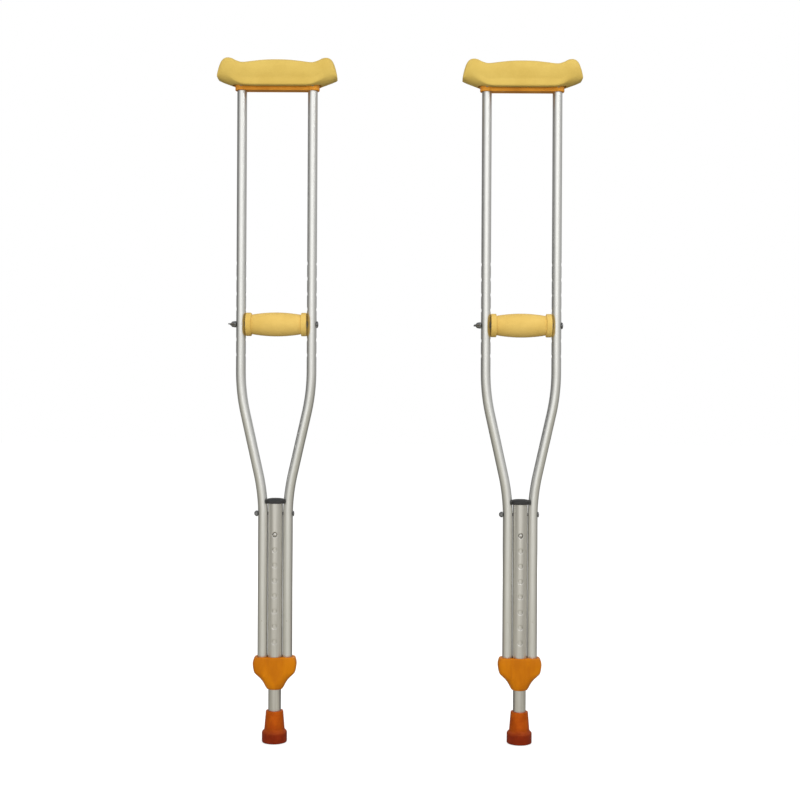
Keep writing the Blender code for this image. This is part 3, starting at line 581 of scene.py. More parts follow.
ORANGE = moulded_plastic("moulded_orange", srgb(206, 122, 4), srgb(188, 106, 3), 0.42, coat=0.02)
# The crossbar's copy of the orange is painted lighter and yellower than the bracket's: painted bounce light from
# the yellow pad above it, lifting the pad's shade.
BOUNCE_LIT_ORANGE = moulded_plastic("crossbar_orange", srgb(230, 155, 52), srgb(214, 139, 44), 0.42, coat=0.02)
BLACK = moulded_plastic("moulded_black", srgb(44, 44, 44), srgb(34, 34, 34), 0.38, shine=0.5)
GREY = moulded_plastic("moulded_grey", srgb(150, 150, 150), srgb(135, 135, 136), 0.50)
print("finishes:", ORANGE.name, BOUNCE_LIT_ORANGE.name, BLACK.name, GREY.name)

# %% [markdown]
# ### Gum rubber
# The tips are natural amber rubber, and light gets into it. In the thin body it goes through to the bright tube
# inside and comes back tinted, strongest where the surface faces the light; a rough, coloured metallic share
# stands for that, and a trace of subsurface scattering softens it. The solid foot gives nothing back and stays
# a dark red-brown. A soft noise, the dust that rubber sweats out, moves both the colour and the roughness.

# %% Gum rubber
def gum_rubber(name, foot_height):
    glow = {"Subsurface Weight": 0.05, "Subsurface Radius": (0.006, 0.0016, 0.0004), "Subsurface Scale": 0.3}
    finish = Finish(name, {**glow, "Specular IOR Level": 0.15})
    place = finish.place()
    cloud = finish.noise(place, 60.0, 4.0, 0.6)
    grain = finish.noise(place, 1300.0, 2.0, 0.5)
    dust = finish.range(cloud, 0.3, 0.7)
    body = finish.mix(dust, srgb(176, 74, 6), srgb(198, 92, 10))
    foot = finish.mix(dust, srgb(116, 33, 4), srgb(136, 42, 6))
    above = finish.range(finish.axis(place, "Z"), 0.7 * foot_height, 1.6 * foot_height)
    finish.set("Base Color", finish.mix(above, foot, body))
    finish.set("Metallic", 0.4 * above)
    finish.set("Roughness", 0.44 + 0.16 * (cloud - 0.5) + 0.10 * (grain - 0.5))
    finish.set("Normal", finish.bump(grain, 0.00008, 0.5))
    return finish.material


TIP_FOOT_HEIGHT = 0.0175
RUBBER = gum_rubber("gum_rubber", TIP_FOOT_HEIGHT)
print("finish:", RUBBER.name)

# %% [markdown]
# ### Plated hardware and spring steel
# Zinc plating is a soft grey with a crystalline mottle, duller than the aluminium. The snap buttons, which a
# thumb rubs bright, are nickel. The spring is blued steel that is never seen.

# %% Plated hardware and spring steel
def plated_steel(name, colour, shade, roughness):
    finish = Finish(name, {"Metallic": 1.0})
    place = finish.place()
    crystals = finish.cells(place, 700.0, "Color")
    tone = finish.add("ShaderNodeSeparateColor", inputs={"Color": crystals}, output="Red")
    scuff = finish.noise(place, 420.0, 4.0, 0.65)
    finish.set("Base Color", finish.mix(0.4 * tone + 0.6 * scuff, shade, colour))
    finish.set("Roughness", roughness + 0.14 * (scuff - 0.5) + 0.05 * (tone - 0.5))
    finish.set("Normal", finish.bump(scuff, 0.00003, 0.4))
    return finish.material


ZINC = plated_steel("zinc_plate", srgb(160, 161, 162), srgb(118, 119, 121), 0.34)
NICKEL = plated_steel("nickel_plate", srgb(222, 220, 215), srgb(196, 194, 189), 0.27)
SPRING = plated_steel("blued_spring", srgb(110, 114, 122), srgb(84, 88, 98), 0.28)
print("finishes:", ZINC.name, NICKEL.name, SPRING.name)

# %% [markdown]
# ## Putting a finished shape in its place
# Each shape is made once. Its mesh is copied and moved to both crutches, rides on the body that its CAD node
# rides on, and takes that node's place in the picture. The objects themselves stay at the origin.

# %% Copy a shape to both crutches
def show(shape, piece, finish):
    """Puts a copy of a shape on each crutch in place of a node, and removes the pattern piece."""
    shape.data.materials.clear()
    shape.data.materials.append(finish)
    for side in SIDES:
        node = f"{side}_{piece}"
        mesh = shape.data.copy()
        mesh.transform(Matrix.Translation((MIDDLE[side], 0, 0)))
        obj = add_object(f"{node}_finish", mesh)
        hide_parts(node)
        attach(obj, BODY_OF[node])
    size = 1000 * np.ptp([v.co for v in shape.data.vertices], axis=0)
    print(f"{piece}: {' x '.join(f'{part:.1f}' for part in size)} mm, {len(shape.data.polygons)} faces")
    bpy.data.objects.remove(shape, do_unlink=True)


# %% [markdown]
# ## The tubes
# A tube is a main piece whose shape follows a rule, so Geometry Nodes draw it: a line of points becomes a
# curve, and a circle is carried along it. Solidify then gives it a wall inwards. The rows of holes follow a
# rule too, and a second tree makes them as one set of drills: a line of points, one drill on each.

# %% Geometry Nodes that draw a tube along a line
tube_tool = NodeTool(
    "tube_along_line", {"Radius": "Float", "Sides": "Int", "Capped": "Bool", "Material": "Material"}
)
tube_line = tube_tool.graph.add("GeometryNodeMeshToCurve", inputs={"Mesh": tube_tool.given("Geometry")})
tube_circle = tube_tool.graph.add(
    "GeometryNodeCurvePrimitiveCircle",
    inputs={"Resolution": tube_tool.given("Sides"), "Radius": tube_tool.given("Radius")},
)
tube_skin = tube_tool.graph.add(
    "GeometryNodeCurveToMesh",
    inputs={"Curve": tube_line, "Profile Curve": tube_circle, "Fill Caps": tube_tool.given("Capped")},
)
tube_tool.ends_with(tube_skin)
print(tube_tool.tree.name, "has", len(tube_tool.tree.nodes), "nodes")

# %% Geometry Nodes that set out a row of drills
drill_tool = NodeTool(
    "row_of_drills",
    {"Count": "Int", "Start": "Vector", "Pitch": "Vector", "Turn": "Rotation", "Material": "Material"},
)
drill_points = drill_tool.graph.add(
    "GeometryNodeMeshLine",
    {"mode": "OFFSET"},
    {
        "Count": drill_tool.given("Count"), "Start Location": drill_tool.given("Start"),
        "Offset": drill_tool.given("Pitch"),
    },
)
drill_row = drill_tool.graph.add(
    "GeometryNodeInstanceOnPoints",
    inputs={
        "Points": drill_points, "Instance": drill_tool.given("Geometry"), "Rotation": drill_tool.given("Turn"),
    },
)
drill_tool.ends_with(drill_row)
print(drill_tool.tree.name, "has", len(drill_tool.tree.nodes), "nodes")

# %% [markdown]
# A hole in a thin tube is punched, and the punch draws its rim in, so each height hole is edged by a small
# rolled lip that catches the light. The cutter for such a hole has ends that flare like a trumpet and follow
# the tube's round surface. A hole that a bolt or a rivet covers is cut by a plain round drill.

# %% Drill bits
DRILL_PAST = 0.0004
RIM_STEPS = 8
RIM_DEPTH = 0.42
RIM_LIFT = 0.00006


def plain_bit(diameter, tube_radius):
    """A straight cutter along local Z, through a tube whose axis is local Y."""
    end = tube_radius + DRILL_PAST
    return plug(diameter / 2, -end, end, SMALL_ROUND)


def rim_bit(diameter, tube_radius, rim):
    """A cutter that also rolls the hole's rim inwards, over a width of rim."""
    end = tube_radius + DRILL_PAST
    near = [[(0, 0, end)], circle(diameter / 2 + rim, end, SMALL_ROUND, 0.5)]
    for turned in quarter_turn(RIM_STEPS):
        drop = RIM_DEPTH * rim * (1 - math.cos(turned)) - RIM_LIFT
        ring = circle(diameter / 2 + rim * (1 - math.sin(turned)), 0, SMALL_ROUND, 0.5)
        near.append([(x, y, math.sqrt(tube_radius ** 2 - x ** 2) - drop) for x, y, _ in ring])
    far = [[(x, y, -z) for x, y, z in ring] for ring in reversed(near)]
    return skin("bit", near + far)


def drills(bit, start, turn_by, count=1, pitch=0.0):
    """A row of copies of a bit, ready for a Boolean."""
    cutter = drill_tool.run("drills", bit.data, count=count, start=start, pitch=(0, 0, pitch), turn=turn_by)
    bpy.data.objects.remove(bit, do_unlink=True)
    return crisp(cutter, degrees=40)


print("a punched rim is rolled in over", RIM_STEPS, "steps")

# %% [markdown]
# The attribute tube_place comes from the same line that drew the tube. For each point of the finished mesh the
# nearest place on the line is found; how far along it lies, and how far to its two sides, are its coordinates.

# %% A hollow tube with its own coordinates
TUBE_WALL = 0.0012
WELD = 1e-6


def line_mesh(points):
    mesh = bpy.data.meshes.new("line")
    mesh.from_pydata([(x, 0, z) for x, z in points], [(i, i + 1) for i in range(len(points) - 1)], [])
    return mesh


def set_tube_place(obj, points):
    """Writes where each point would be, were the tube straight: across, deep and along."""
    starts = np.array(points[:-1])
    steps = np.diff(points, axis=0)
    lengths = np.linalg.norm(steps, axis=1)
    along = np.cumsum(lengths) - lengths
    co = np.array([v.co for v in obj.data.vertices])
    flat = co[:, [0, 2]]
    share = np.clip(((flat[:, None] - starts) * steps).sum(2) / lengths ** 2, 0, 1)
    off = flat[:, None] - (starts + share[:, :, None] * steps)
    nearest = np.linalg.norm(off, axis=2).argmin(1)
    rows = np.arange(len(co))
    sideways = steps[nearest] @ np.array([[0, -1], [1, 0]]) / lengths[nearest, None]
    across = (off[rows, nearest] * sideways).sum(1)
    place = np.stack((across, co[:, 1], (along + share * lengths)[rows, nearest]), 1)
    attribute = obj.data.attributes.new("tube_place", "FLOAT_VECTOR", "POINT")
    attribute.data.foreach_set("vector", place.astype(np.float32).ravel())


def face_out(obj):
    """Turns the faces outwards, and welds the caps that a node tool leaves loose."""
    bm = bmesh.new()
    bm.from_mesh(obj.data)
    bmesh.ops.remove_doubles(bm, verts=bm.verts, dist=WELD)
    bmesh.ops.recalc_face_normals(bm, faces=bm.faces)
    bm.to_mesh(obj.data)
    bm.free()
    return obj


def hollow_tube(name, points, radius, cutters):
    """A drawn tube along (x, z) points, drilled by the cutters."""
    tube = face_out(tube_tool.run(name, line_mesh(points), radius=radius, sides=ROUND))
    wall = tube.modifiers.new("wall", "SOLIDIFY")
    wall.thickness = TUBE_WALL
    wall.offset = -1
    wall.use_even_offset = True
    settle(tube)
    mark_edges(tube.data, degrees=40)
    combine(tube, cutters)
    set_tube_place(tube, points)
    return tube


print("tube wall", 1000 * TUBE_WALL, "mm")

# %% [markdown]
# ### The bows
# Each bow is one tube that stands straight beside the arm and hand, leans in through a long bend, and turns
# back to lie along the centre sleeve. Its line is two arcs and three straight runs. The run between the bends
# takes up whatever width is left over, so the tube ends exactly where the sleeve needs it.

# %% The bows' line
BEND_RADIUS = 0.320
BOW_LEAN = math.radians(12.6)
BOW_SIDE_CLEARANCE = 0.0004
BEND_END_BELOW_SLEEVE_TOP = 0.0209
BEND_STEPS = 20

FOOT_SPREAD = SLEEVE_RADIUS + BOW_SIDE_CLEARANCE + BOW_RADIUS
BEND_WIDTH = BEND_RADIUS * (1 - math.cos(BOW_LEAN))
BEND_HEIGHT = BEND_RADIUS * math.sin(BOW_LEAN)
RUN_WIDTH = BOW_SPREAD - FOOT_SPREAD - 2 * BEND_WIDTH
RUN_HEIGHT = RUN_WIDTH / math.tan(BOW_LEAN)
BEND_START = sleeve_high.z - BEND_END_BELOW_SLEEVE_TOP + 2 * BEND_HEIGHT + RUN_HEIGHT


def bend(start, lean_from, lean_to):
    """Points after start along a bend; the lean is measured inwards from straight down."""
    way = 1 if lean_to > lean_from else -1
    points = []
    for i in range(1, BEND_STEPS + 1):
        lean = lean_from + (lean_to - lean_from) * i / BEND_STEPS
        x = start[0] - way * BEND_RADIUS * (math.cos(lean_from) - math.cos(lean))
        z = start[1] - way * BEND_RADIUS * (math.sin(lean) - math.sin(lean_from))
        points.append((x, z))
    return points


def bow_line(side=1):
    """Points (x, z) along a bow's axis from its top to its bottom; side is 1 or -1."""
    upper = bend((BOW_SPREAD, BEND_START), 0, BOW_LEAN)
    run_end = (upper[-1][0] - RUN_WIDTH, upper[-1][1] - RUN_HEIGHT)
    lower = bend(run_end, BOW_LEAN, 0)
    line = [(BOW_SPREAD, bow_high.z), (BOW_SPREAD, BEND_START), *upper, run_end, *lower]
    return [(side * x, z) for x, z in (*line, (FOOT_SPREAD, bow_low.z))]


def bow_x(z):
    """How far out a bow's axis is at a height."""
    line = bow_line()
    return float(np.interp(z, [p[1] for p in reversed(line)], [p[0] for p in reversed(line)]))


print(f"bends from {BEND_START:.4f} down, bow feet {1000 * FOOT_SPREAD:.1f} mm out")

# %% [markdown]
# ### Four drilled tubes
# The two bows, the sleeve and the leg are one kind of thing, a drawn tube with holes through it, so one helper
# makes them all. What differs is the line and the holes: a row in the sleeve for the leg's snap buttons, a row
# in each bow for the grip's bolt, and single holes where something is fixed. A joint's range divided by the
# pitch says how many holes a row needs, so no setting of the crutch can ever miss its hole.

# %% The bows, the sleeve and the leg
HOLE_PITCH = 0.025
HEIGHT_HOLE_DIAMETER = 0.008
GRIP_HOLE_DIAMETER = 0.007
FRAME_HOLE_DIAMETER = 0.006
RIVET_HOLE_DIAMETER = 0.0046
HEIGHT_HOLE_RIM = 0.0015
GRIP_HOLE_RIM = 0.0009


def steps_in(distance):
    return round(abs(distance) / HOLE_PITCH)


grip_down, grip_up = RANGE_OF["left_grip_slide"]
leg_in, leg_out = RANGE_OF["left_leg_slide"]


def make_bow(side):
    """A bow drilled for the grip bolt, the frame bolt and the rivet."""
    lowest = (side * BOW_SPREAD, 0, GRIP_Z + grip_down)
    count = steps_in(grip_down) + steps_in(grip_up) + 1
    frame_hole = (side * bow_x(FRAME_BOLT_Z), 0, FRAME_BOLT_Z)
    cutters = [
        drills(rim_bit(GRIP_HOLE_DIAMETER, BOW_RADIUS, GRIP_HOLE_RIM), lowest, ACROSS_X, count, HOLE_PITCH),
        drills(plain_bit(FRAME_HOLE_DIAMETER, BOW_RADIUS), frame_hole, ALONG_X),
        drills(plain_bit(RIVET_HOLE_DIAMETER, BOW_RADIUS), (side * BOW_SPREAD, 0, RIVET_Z), ALONG_Y),
    ]
    return hollow_tube("bow", bow_line(side), BOW_RADIUS, cutters)


show(make_bow(-1), "bow_nut_side", BOW_METAL)
show(make_bow(1), "bow_head_side", BOW_METAL)

height_holes = steps_in(leg_out - leg_in) + 1
lowest_hole = (0, 0, BUTTON_Z - (height_holes - 1) * HOLE_PITCH)
height_bit = rim_bit(HEIGHT_HOLE_DIAMETER, SLEEVE_RADIUS, HEIGHT_HOLE_RIM)
sleeve = hollow_tube(
    "sleeve",
    [(0, sleeve_high.z), (0, sleeve_low.z)],
    SLEEVE_RADIUS,
    [
        drills(height_bit, lowest_hole, ALONG_Y, height_holes, HOLE_PITCH),
        drills(plain_bit(FRAME_HOLE_DIAMETER, SLEEVE_RADIUS), (0, 0, FRAME_BOLT_Z), ALONG_X),
    ],
)
show(sleeve, "centre_sleeve", LEG_METAL)

leg = hollow_tube(
    "leg",
    [(0, leg_high.z), (0, leg_low.z)],
    LEG_RADIUS,
    [drills(plain_bit(HEIGHT_HOLE_DIAMETER, LEG_RADIUS), (0, 0, BUTTON_Z), ALONG_Y)],
)
show(leg, "leg_tube", LEG_METAL)

# %% [markdown]
# ## The bottom bracket
# One orange moulding gathers three tubes. Seen from the front it is a collar that flares in a concave sweep to
# a broad yoke, and the yoke reads as three lobes, one round each tube, with a shallow valley between them. The
# lobes fade out towards the collar. It is a skin over rings whose sizes are smoothly interpolated between a few
# stations, and its pockets are cut by the very lines that drew the tubes, so each tube sits in its own print.

# %% Smooth stations and rounded rings
def smooth_values(places, values, at):
    """A monotone cubic through a few values: no overshoot beside a sharp change."""
    places = np.asarray(places, float)
    values = np.asarray(values, float)
    widths = np.diff(places)
    slopes = np.diff(values, axis=0) / widths[:, None]
    same_way = slopes[:-1] * slopes[1:] > 0
    safe = np.where(same_way, slopes[:-1] + slopes[1:], 1)
    inner = np.where(same_way, 2 * slopes[:-1] * slopes[1:] / safe, 0)
    tangents = np.vstack((slopes[:1], inner, slopes[-1:]))
    k = np.clip(np.searchsorted(places, at, side="right") - 1, 0, len(widths) - 1)
    t = ((at - places[k]) / widths[k])[:, None]
    w = widths[k][:, None]
    return (
        (1 + 2 * t) * (1 - t) ** 2 * values[k]
        + t * (1 - t) ** 2 * w * tangents[k]
        + t ** 2 * (3 - 2 * t) * values[k + 1]
        + t ** 2 * (t - 1) * w * tangents[k + 1]
    )


def squared(share, power):
    """A cosine or sine pushed towards the corner of a square."""
    return math.copysign(abs(share) ** (2 / power), share)


def rounded_ring(half_width, half_depth, power, z, count=ROUND):
    """A superellipse in the plane z: power 2 is an ellipse, and a higher power squares its corners."""
    unit = circle(1, 0, count)
    return [(half_width * squared(x, power), half_depth * squared(y, power), z) for x, y, _ in unit]


print("half way between 0 and 1 the eased value is", smooth_values([0, 1], [[0], [1]], np.array([0.5])).item())

# %% The bottom bracket
FIT = 0.0003
LEG_CLEARANCE = 0.0004
BRACKET_WALL = 0.0026
BRACKET_RINGS = 80
BRACKET_POINTS = 192
VALLEY_DEPTH = 0.0017
VALLEY_WIDTH = 0.0033
MOUTH_CHAMFER = 0.0006
TOOL_PAST = 0.0010


def bracket_stations():
    """Rows of height above the bracket's bottom, half width, half depth, power and valley depth."""
    bore = LEG_RADIUS + LEG_CLEARANCE
    yoke = FOOT_SPREAD + BOW_RADIUS + FIT
    depth = SLEEVE_RADIUS + FIT + BRACKET_WALL
    return [
        (0.0000, bore + 0.0012, bore + 0.0010, 2.0, 0.0),
        (0.0006, bore + 0.0022, bore + 0.0018, 2.0, 0.0),
        (0.0019, bore + 0.0030, bore + 0.0025, 2.0, 0.0),
        (0.0048, bore + 0.0048, bore + 0.0036, 2.0, 0.0),
        (0.0106, bore + 0.0078, depth, 2.3, 0.1),
        (0.0170, bore + 0.0124, depth, 2.8, 0.35),
        (0.0228, yoke + 0.0003, depth, 3.5, 0.6),
        (0.0276, yoke + 0.0045, depth, 4.2, 0.8),
        (0.0329, yoke + 0.0059, depth, 4.6, 0.9),
        (0.0419, yoke + 0.0069, depth, 5.0, 1.0),
        (0.0511, yoke + 0.0049, depth - 0.0004, 5.0, 1.0),
        (0.0524, yoke + 0.0038, depth - 0.0010, 5.0, 1.0),
        (0.0530, yoke + 0.0022, depth - 0.0020, 5.0, 1.0),
    ]


def bracket_ring(height, half_width, half_depth, power, valley):
    """One ring, drawn in a little between the sleeve and each bow."""
    between = (SLEEVE_RADIUS + FOOT_SPREAD - BOW_RADIUS) / 2
    ring = []
    for x, y, z in rounded_ring(half_width, half_depth, power, bracket_low.z + height, BRACKET_POINTS):
        shallow = math.exp(-(((abs(x) - between) / VALLEY_WIDTH) ** 2))
        ring.append((x, y - math.copysign(min(VALLEY_DEPTH * valley * shallow, abs(y)), y), z))
    return ring


# The rings lie closer together near both ends, where the form turns most.
stations = np.array(bracket_stations())
even = np.linspace(0, 1, BRACKET_RINGS)
eased = (1 - np.cos(math.pi * even)) / 2
heights = stations[-1, 0] * (even + eased) / 2
rows = smooth_values(stations[:, 0], stations[:, 1:], heights)
rings = [bracket_ring(height, *row) for height, row in zip(heights, rows)]
bracket = crisp(skin("bracket", [[(0, 0, bracket_low.z)], *rings, [(0, 0, bracket_high.z)]]), degrees=50)


def bore_tool(radius, mouth, end, x=0):
    """A round cutter from a face at the height mouth, with a small chamfer there, to a flat end."""
    past = math.copysign(TOOL_PAST, mouth - end)
    chamfer = math.copysign(MOUTH_CHAMFER, mouth - end)
    profile = [
        (0, mouth + past), (radius + MOUTH_CHAMFER + TOOL_PAST, mouth + past), (radius, mouth - chamfer),
        (radius, end), (0, end),
    ]
    return turn(crisp(lathe("bore_tool", profile), degrees=30), place=(x, 0, 0))


pockets = [
    bore_tool(BOW_RADIUS + FIT, bracket_high.z, bow_low.z - FIT, -FOOT_SPREAD),
    bore_tool(BOW_RADIUS + FIT, bracket_high.z, bow_low.z - FIT, FOOT_SPREAD),
    bore_tool(SLEEVE_RADIUS + FIT, bracket_high.z, sleeve_low.z - FIT),
    bore_tool(LEG_RADIUS + LEG_CLEARANCE, bracket_low.z, bracket_high.z),
]
combine(bracket, pockets)
show(bracket, "bottom_bracket", ORANGE)

# %% [markdown]
# ## The sleeve's cap
# A black plug closes the sleeve and fills the space between the bows. The bows hollow its two sides, which is
# why it seems to have horns. Here too the tubes' own lines do the cutting.

# %% The sleeve's cap
_, cap_high = own_box("sleeve_cap")
CAP_SHORT_OF_BOWS = 0.0046
CAP_RIM = 0.0009
CAP_SPIGOT = 0.0070
CAP_LEAD = 0.0006
CAP_EDGE = 0.0004
CAP_STEPS = 24
CAP_SHOULDER = 0.45
CAP_CROWN_POWER = 2.6
CAP_SQUARENESS = 1.2
ROOM_STEPS = 8

cap_base = sleeve_high.z + FIT
spigot_end = cap_base - CAP_SPIGOT
spigot = SLEEVE_RADIUS - TUBE_WALL - FIT
cap_width = bow_x(sleeve_high.z) - CAP_SHORT_OF_BOWS
cap_depth = SLEEVE_RADIUS + CAP_RIM


def bow_room(side, lowest, highest):
    """A solid cutter along a bow between two heights, as wide as the bow and its fit."""
    line = [(side * bow_x(z), z) for z in np.linspace(highest, lowest, ROOM_STEPS + 1)]
    room = tube_tool.run("bow_room", line_mesh(line), radius=BOW_RADIUS + FIT, sides=ROUND, capped=True)
    return crisp(face_out(room), degrees=40)


cap_rings = [
    [(0, 0, spigot_end)],
    circle(spigot - CAP_LEAD, spigot_end),
    circle(spigot, spigot_end + CAP_LEAD),
    circle(spigot, cap_base),
    rounded_ring(cap_width - CAP_EDGE, cap_depth - CAP_EDGE, 2 + CAP_SQUARENESS, cap_base),
]
for share in np.linspace(0, 1, CAP_STEPS, endpoint=False):
    bent = max(0, (share - CAP_SHOULDER) / (1 - CAP_SHOULDER))
    shrink = math.sqrt(1 - bent ** CAP_CROWN_POWER)
    ring_z = cap_base + CAP_EDGE + (cap_high.z - cap_base - CAP_EDGE) * share
    cap_rings.append(rounded_ring(cap_width * shrink, cap_depth * shrink, 2 + CAP_SQUARENESS * shrink, ring_z))
cap = crisp(skin("cap", [*cap_rings, [(0, 0, cap_high.z)]]), degrees=40)
combine(cap, [bow_room(side, spigot_end, cap_high.z + CAP_SPIGOT) for side in (-1, 1)])
show(cap, "sleeve_cap", BLACK)

# %% [markdown]
# ## The rubber tip
# A ferrule is a turned shape: a thin mouth, a body that widens slowly, a soft shoulder and a thick flared foot
# with a ring-grooved tread. One lathe makes it all, mouth and bore and tread together, from a single outline
# with a fillet at every corner.

# %% The rubber tip
TIP_FLOOR = 0.0070
TIP_FOOT_WALL = 0.0101
TIP_BODY_WALL = 0.0063
TIP_MOUTH_WALL = 0.0037
TREAD_DEPTH = 0.0012
TREAD_GROOVE_WIDTH = 0.0025
TREAD_GROOVE_INSETS = (0.0046, 0.0101)
TREAD_FILLET = 0.0003


def tip_corners():
    """The tip's outline, from the floor of its bore, over mouth and foot, to the middle of its tread."""
    bore = LEG_RADIUS + FIT
    mouth = LEG_RADIUS + TIP_MOUTH_WALL
    body = LEG_RADIUS + TIP_BODY_WALL
    foot = LEG_RADIUS + TIP_FOOT_WALL
    corners = [
        (0, TIP_FLOOR),
        (bore, TIP_FLOOR, 0.0004),
        (bore, tip_high.z, 0.0007),
        (mouth, tip_high.z, 0.0010),
        (body, TIP_FOOT_HEIGHT + 0.0030, 0.0030),
        (foot, TIP_FOOT_HEIGHT, 0.0022),
        (foot, 0.0, 0.0022),
    ]
    for inset in TREAD_GROOVE_INSETS:
        outer = foot - inset
        inner = outer - TREAD_GROOVE_WIDTH
        for edge, height in ((outer, 0), (outer, TREAD_DEPTH), (inner, TREAD_DEPTH), (inner, 0)):
            corners.append((edge, height, TREAD_FILLET))
    corners.append((0, 0))
    return corners


tip = crisp(lathe("tip", soften(tip_corners()), BROAD_ROUND), degrees=50)
show(tip, "rubber_tip", RUBBER)

# %% [markdown]
# ## The hand grip
# The grip is turned foam: a square-shouldered collar at each end keeps the hand off the tubes, and the barrel
# between them swells to its middle. A cosine gives the swell, because it leaves both necks level.

# %% The hand grip
GRIP_COLLAR_DIAMETER = 0.0384
GRIP_COLLAR_WIDTH = 0.0088
GRIP_NECK_DIAMETER = 0.0316
GRIP_EDGE = 0.0014
NECK_FILLET = 0.0009
NECK_SHARE = 0.95
BARREL_STEPS = 24
BARREL_FULLNESS = 0.8
CORE_DIAMETER = 0.012

collar_radius = GRIP_COLLAR_DIAMETER / 2
neck_radius = GRIP_NECK_DIAMETER / 2
barrel_end = grip_high.x - GRIP_COLLAR_WIDTH


def barrel_point(share):
    """The barrel's (radius, height) at a share of the way from its middle to its collar."""
    swell = math.cos(math.pi / 2 * share) ** BARREL_FULLNESS
    return neck_radius + (grip_high.y - neck_radius) * swell, barrel_end * share


half_collar = soften([
    (CORE_DIAMETER / 2 + FIT, grip_high.x),
    (collar_radius, grip_high.x, GRIP_EDGE),
    (collar_radius, barrel_end, 0.9 * GRIP_EDGE),
    (neck_radius + 0.0002, barrel_end, NECK_FILLET),
    barrel_point(NECK_SHARE),
])
grip_profile = half_collar + [barrel_point(1 - i / BARREL_STEPS) for i in range(2, BARREL_STEPS + 1)]
grip_profile += [(radius, -height) for radius, height in reversed(grip_profile[:-1])]
grip = crisp(lathe("grip", grip_profile, BROAD_ROUND, closed=True), degrees=60)
show(turn(grip, ALONG_X, (0, 0, GRIP_Z)), "hand_grip", GRIP_FOAM)

# %% [markdown]
# ## Bolts, rivets, buttons and the cap nut
# Fasteners are small lathes. What makes them read as metal is their edges: each has a fillet or a chamfer wide
# enough to hold a highlight. The thread on a bolt's end is rolled, so its crests are round: every ring of the
# skin is drawn in by a wave, and the wave turns once round the bolt for each pitch.

# %% Bolts, rivets and buttons
BOLT_SIDES = 64
HEAD_RIM_SHARE = 0.25
UNDER_HEAD = 0.001
SMALL_FILLET = 0.0002
THREAD_PITCH = 0.0010
THREAD_DEPTH = 0.00045
THREAD_LENGTH = 0.0140
THREAD_RINGS_A_PITCH = 12


def thread_rings(shank, end):
    """Rings of a rolled thread, from where it runs out on the shank to its chamfered end."""
    count = round(THREAD_LENGTH / THREAD_PITCH * THREAD_RINGS_A_PITCH)
    rings = []
    for i in range(count + 1):
        height = end + THREAD_LENGTH * (1 - i / count)
        run_out = min(1, (end + THREAD_LENGTH - height) / THREAD_PITCH)
        widest = shank - max(0, THREAD_DEPTH - (height - end))
        ring = []
        for x, y, _ in circle(1, 0, BOLT_SIDES):
            phase = 2 * math.pi * height / THREAD_PITCH - math.atan2(y, x)
            radius = min(widest, shank - run_out * THREAD_DEPTH * (0.5 - 0.5 * math.cos(phase)))
            ring.append((radius * x, radius * y, height))
        rings.append(ring)
    return rings


def headed_bolt(name, shank, head, head_height, bearing, end):
    """A domed head on a shank, from its crown down to its threaded end."""
    rim = bearing + HEAD_RIM_SHARE * head_height
    profile = dome(head, rim, bearing + head_height - rim)
    profile += soften([
        (head, rim), (head, bearing, SMALL_FILLET),
        (shank, bearing, SMALL_FILLET), (shank, bearing - UNDER_HEAD),
    ])[1:]
    rings = [circle(radius, height, BOLT_SIDES) for radius, height in profile]
    return crisp(skin(name, [*rings, *thread_rings(shank, end), [(0, 0, end)]]))


GRIP_BOLT_DIAMETER = 0.006
FRAME_BOLT_DIAMETER = 0.005
# Each bolt's diameter, the height of its head, and its height above the floor.
BOLTS = (
    ("grip_bolt", GRIP_BOLT_DIAMETER, 0.0027, GRIP_Z),
    ("frame_bolt", FRAME_BOLT_DIAMETER, 0.0020, FRAME_BOLT_Z),
)
for bolt_piece, diameter, head_height, bolt_z in BOLTS:
    bolt_low, bolt_high = own_box(bolt_piece)
    bearing = bolt_high.x - head_height
    bolt = headed_bolt(bolt_piece, diameter / 2, bolt_high.y, head_height, bearing, bolt_low.x)
    show(turn(bolt, ALONG_X, (0, 0, bolt_z)), bolt_piece, ZINC)

RIVET_HEAD_HEIGHT = 0.0014
RIVET_RADIUS = 0.002
for rivet_side, rivet_piece in ((-1, "rivet_nut_side"), (1, "rivet_head_side")):
    rivet_low, rivet_high = own_box(rivet_piece)
    head = (rivet_high.x - rivet_low.x) / 2
    held = rivet_high.y - RIVET_HEAD_HEIGHT
    near = dome(head, held, RIVET_HEAD_HEIGHT) + [(RIVET_RADIUS, held)]
    far = [(radius, -height) for radius, height in reversed(near)]
    rivet = crisp(lathe("rivet", near + far, SMALL_ROUND))
    show(turn(rivet, ALONG_Y, (rivet_side * BOW_SPREAD, 0, RIVET_Z)), rivet_piece, ZINC)

BUTTON_DOME = 0.0016
BUTTON_FLANGE = 0.0007
BUTTON_RADIUS = 0.00375
button_low, button_high = own_box("front_button")
dome_base = -button_low.y - BUTTON_DOME
shoulder = -button_high.y + BUTTON_FLANGE
button_profile = dome(BUTTON_RADIUS, dome_base, BUTTON_DOME)
button_profile += soften([
    (BUTTON_RADIUS, dome_base), (BUTTON_RADIUS, shoulder, SMALL_FILLET),
    (button_high.x, shoulder, SMALL_FILLET), (button_high.x, -button_high.y, SMALL_FILLET),
    (0, -button_high.y),
])[1:]
for button_piece, button_turn in (("front_button", ALONG_MINUS_Y), ("back_button", ALONG_Y)):
    button = crisp(lathe("button", button_profile, SMALL_ROUND))
    show(turn(button, button_turn, (0, 0, BUTTON_Z)), button_piece, NICKEL)

# %% [markdown]
# The cap nut is a hexagon bar, turned down at the corners and closed by a dome. A lathe makes the turning tool,
# and what the bar and the tool have in common is the nut. The dome is joined on, and a blind bore is cut for
# the bolt's end.

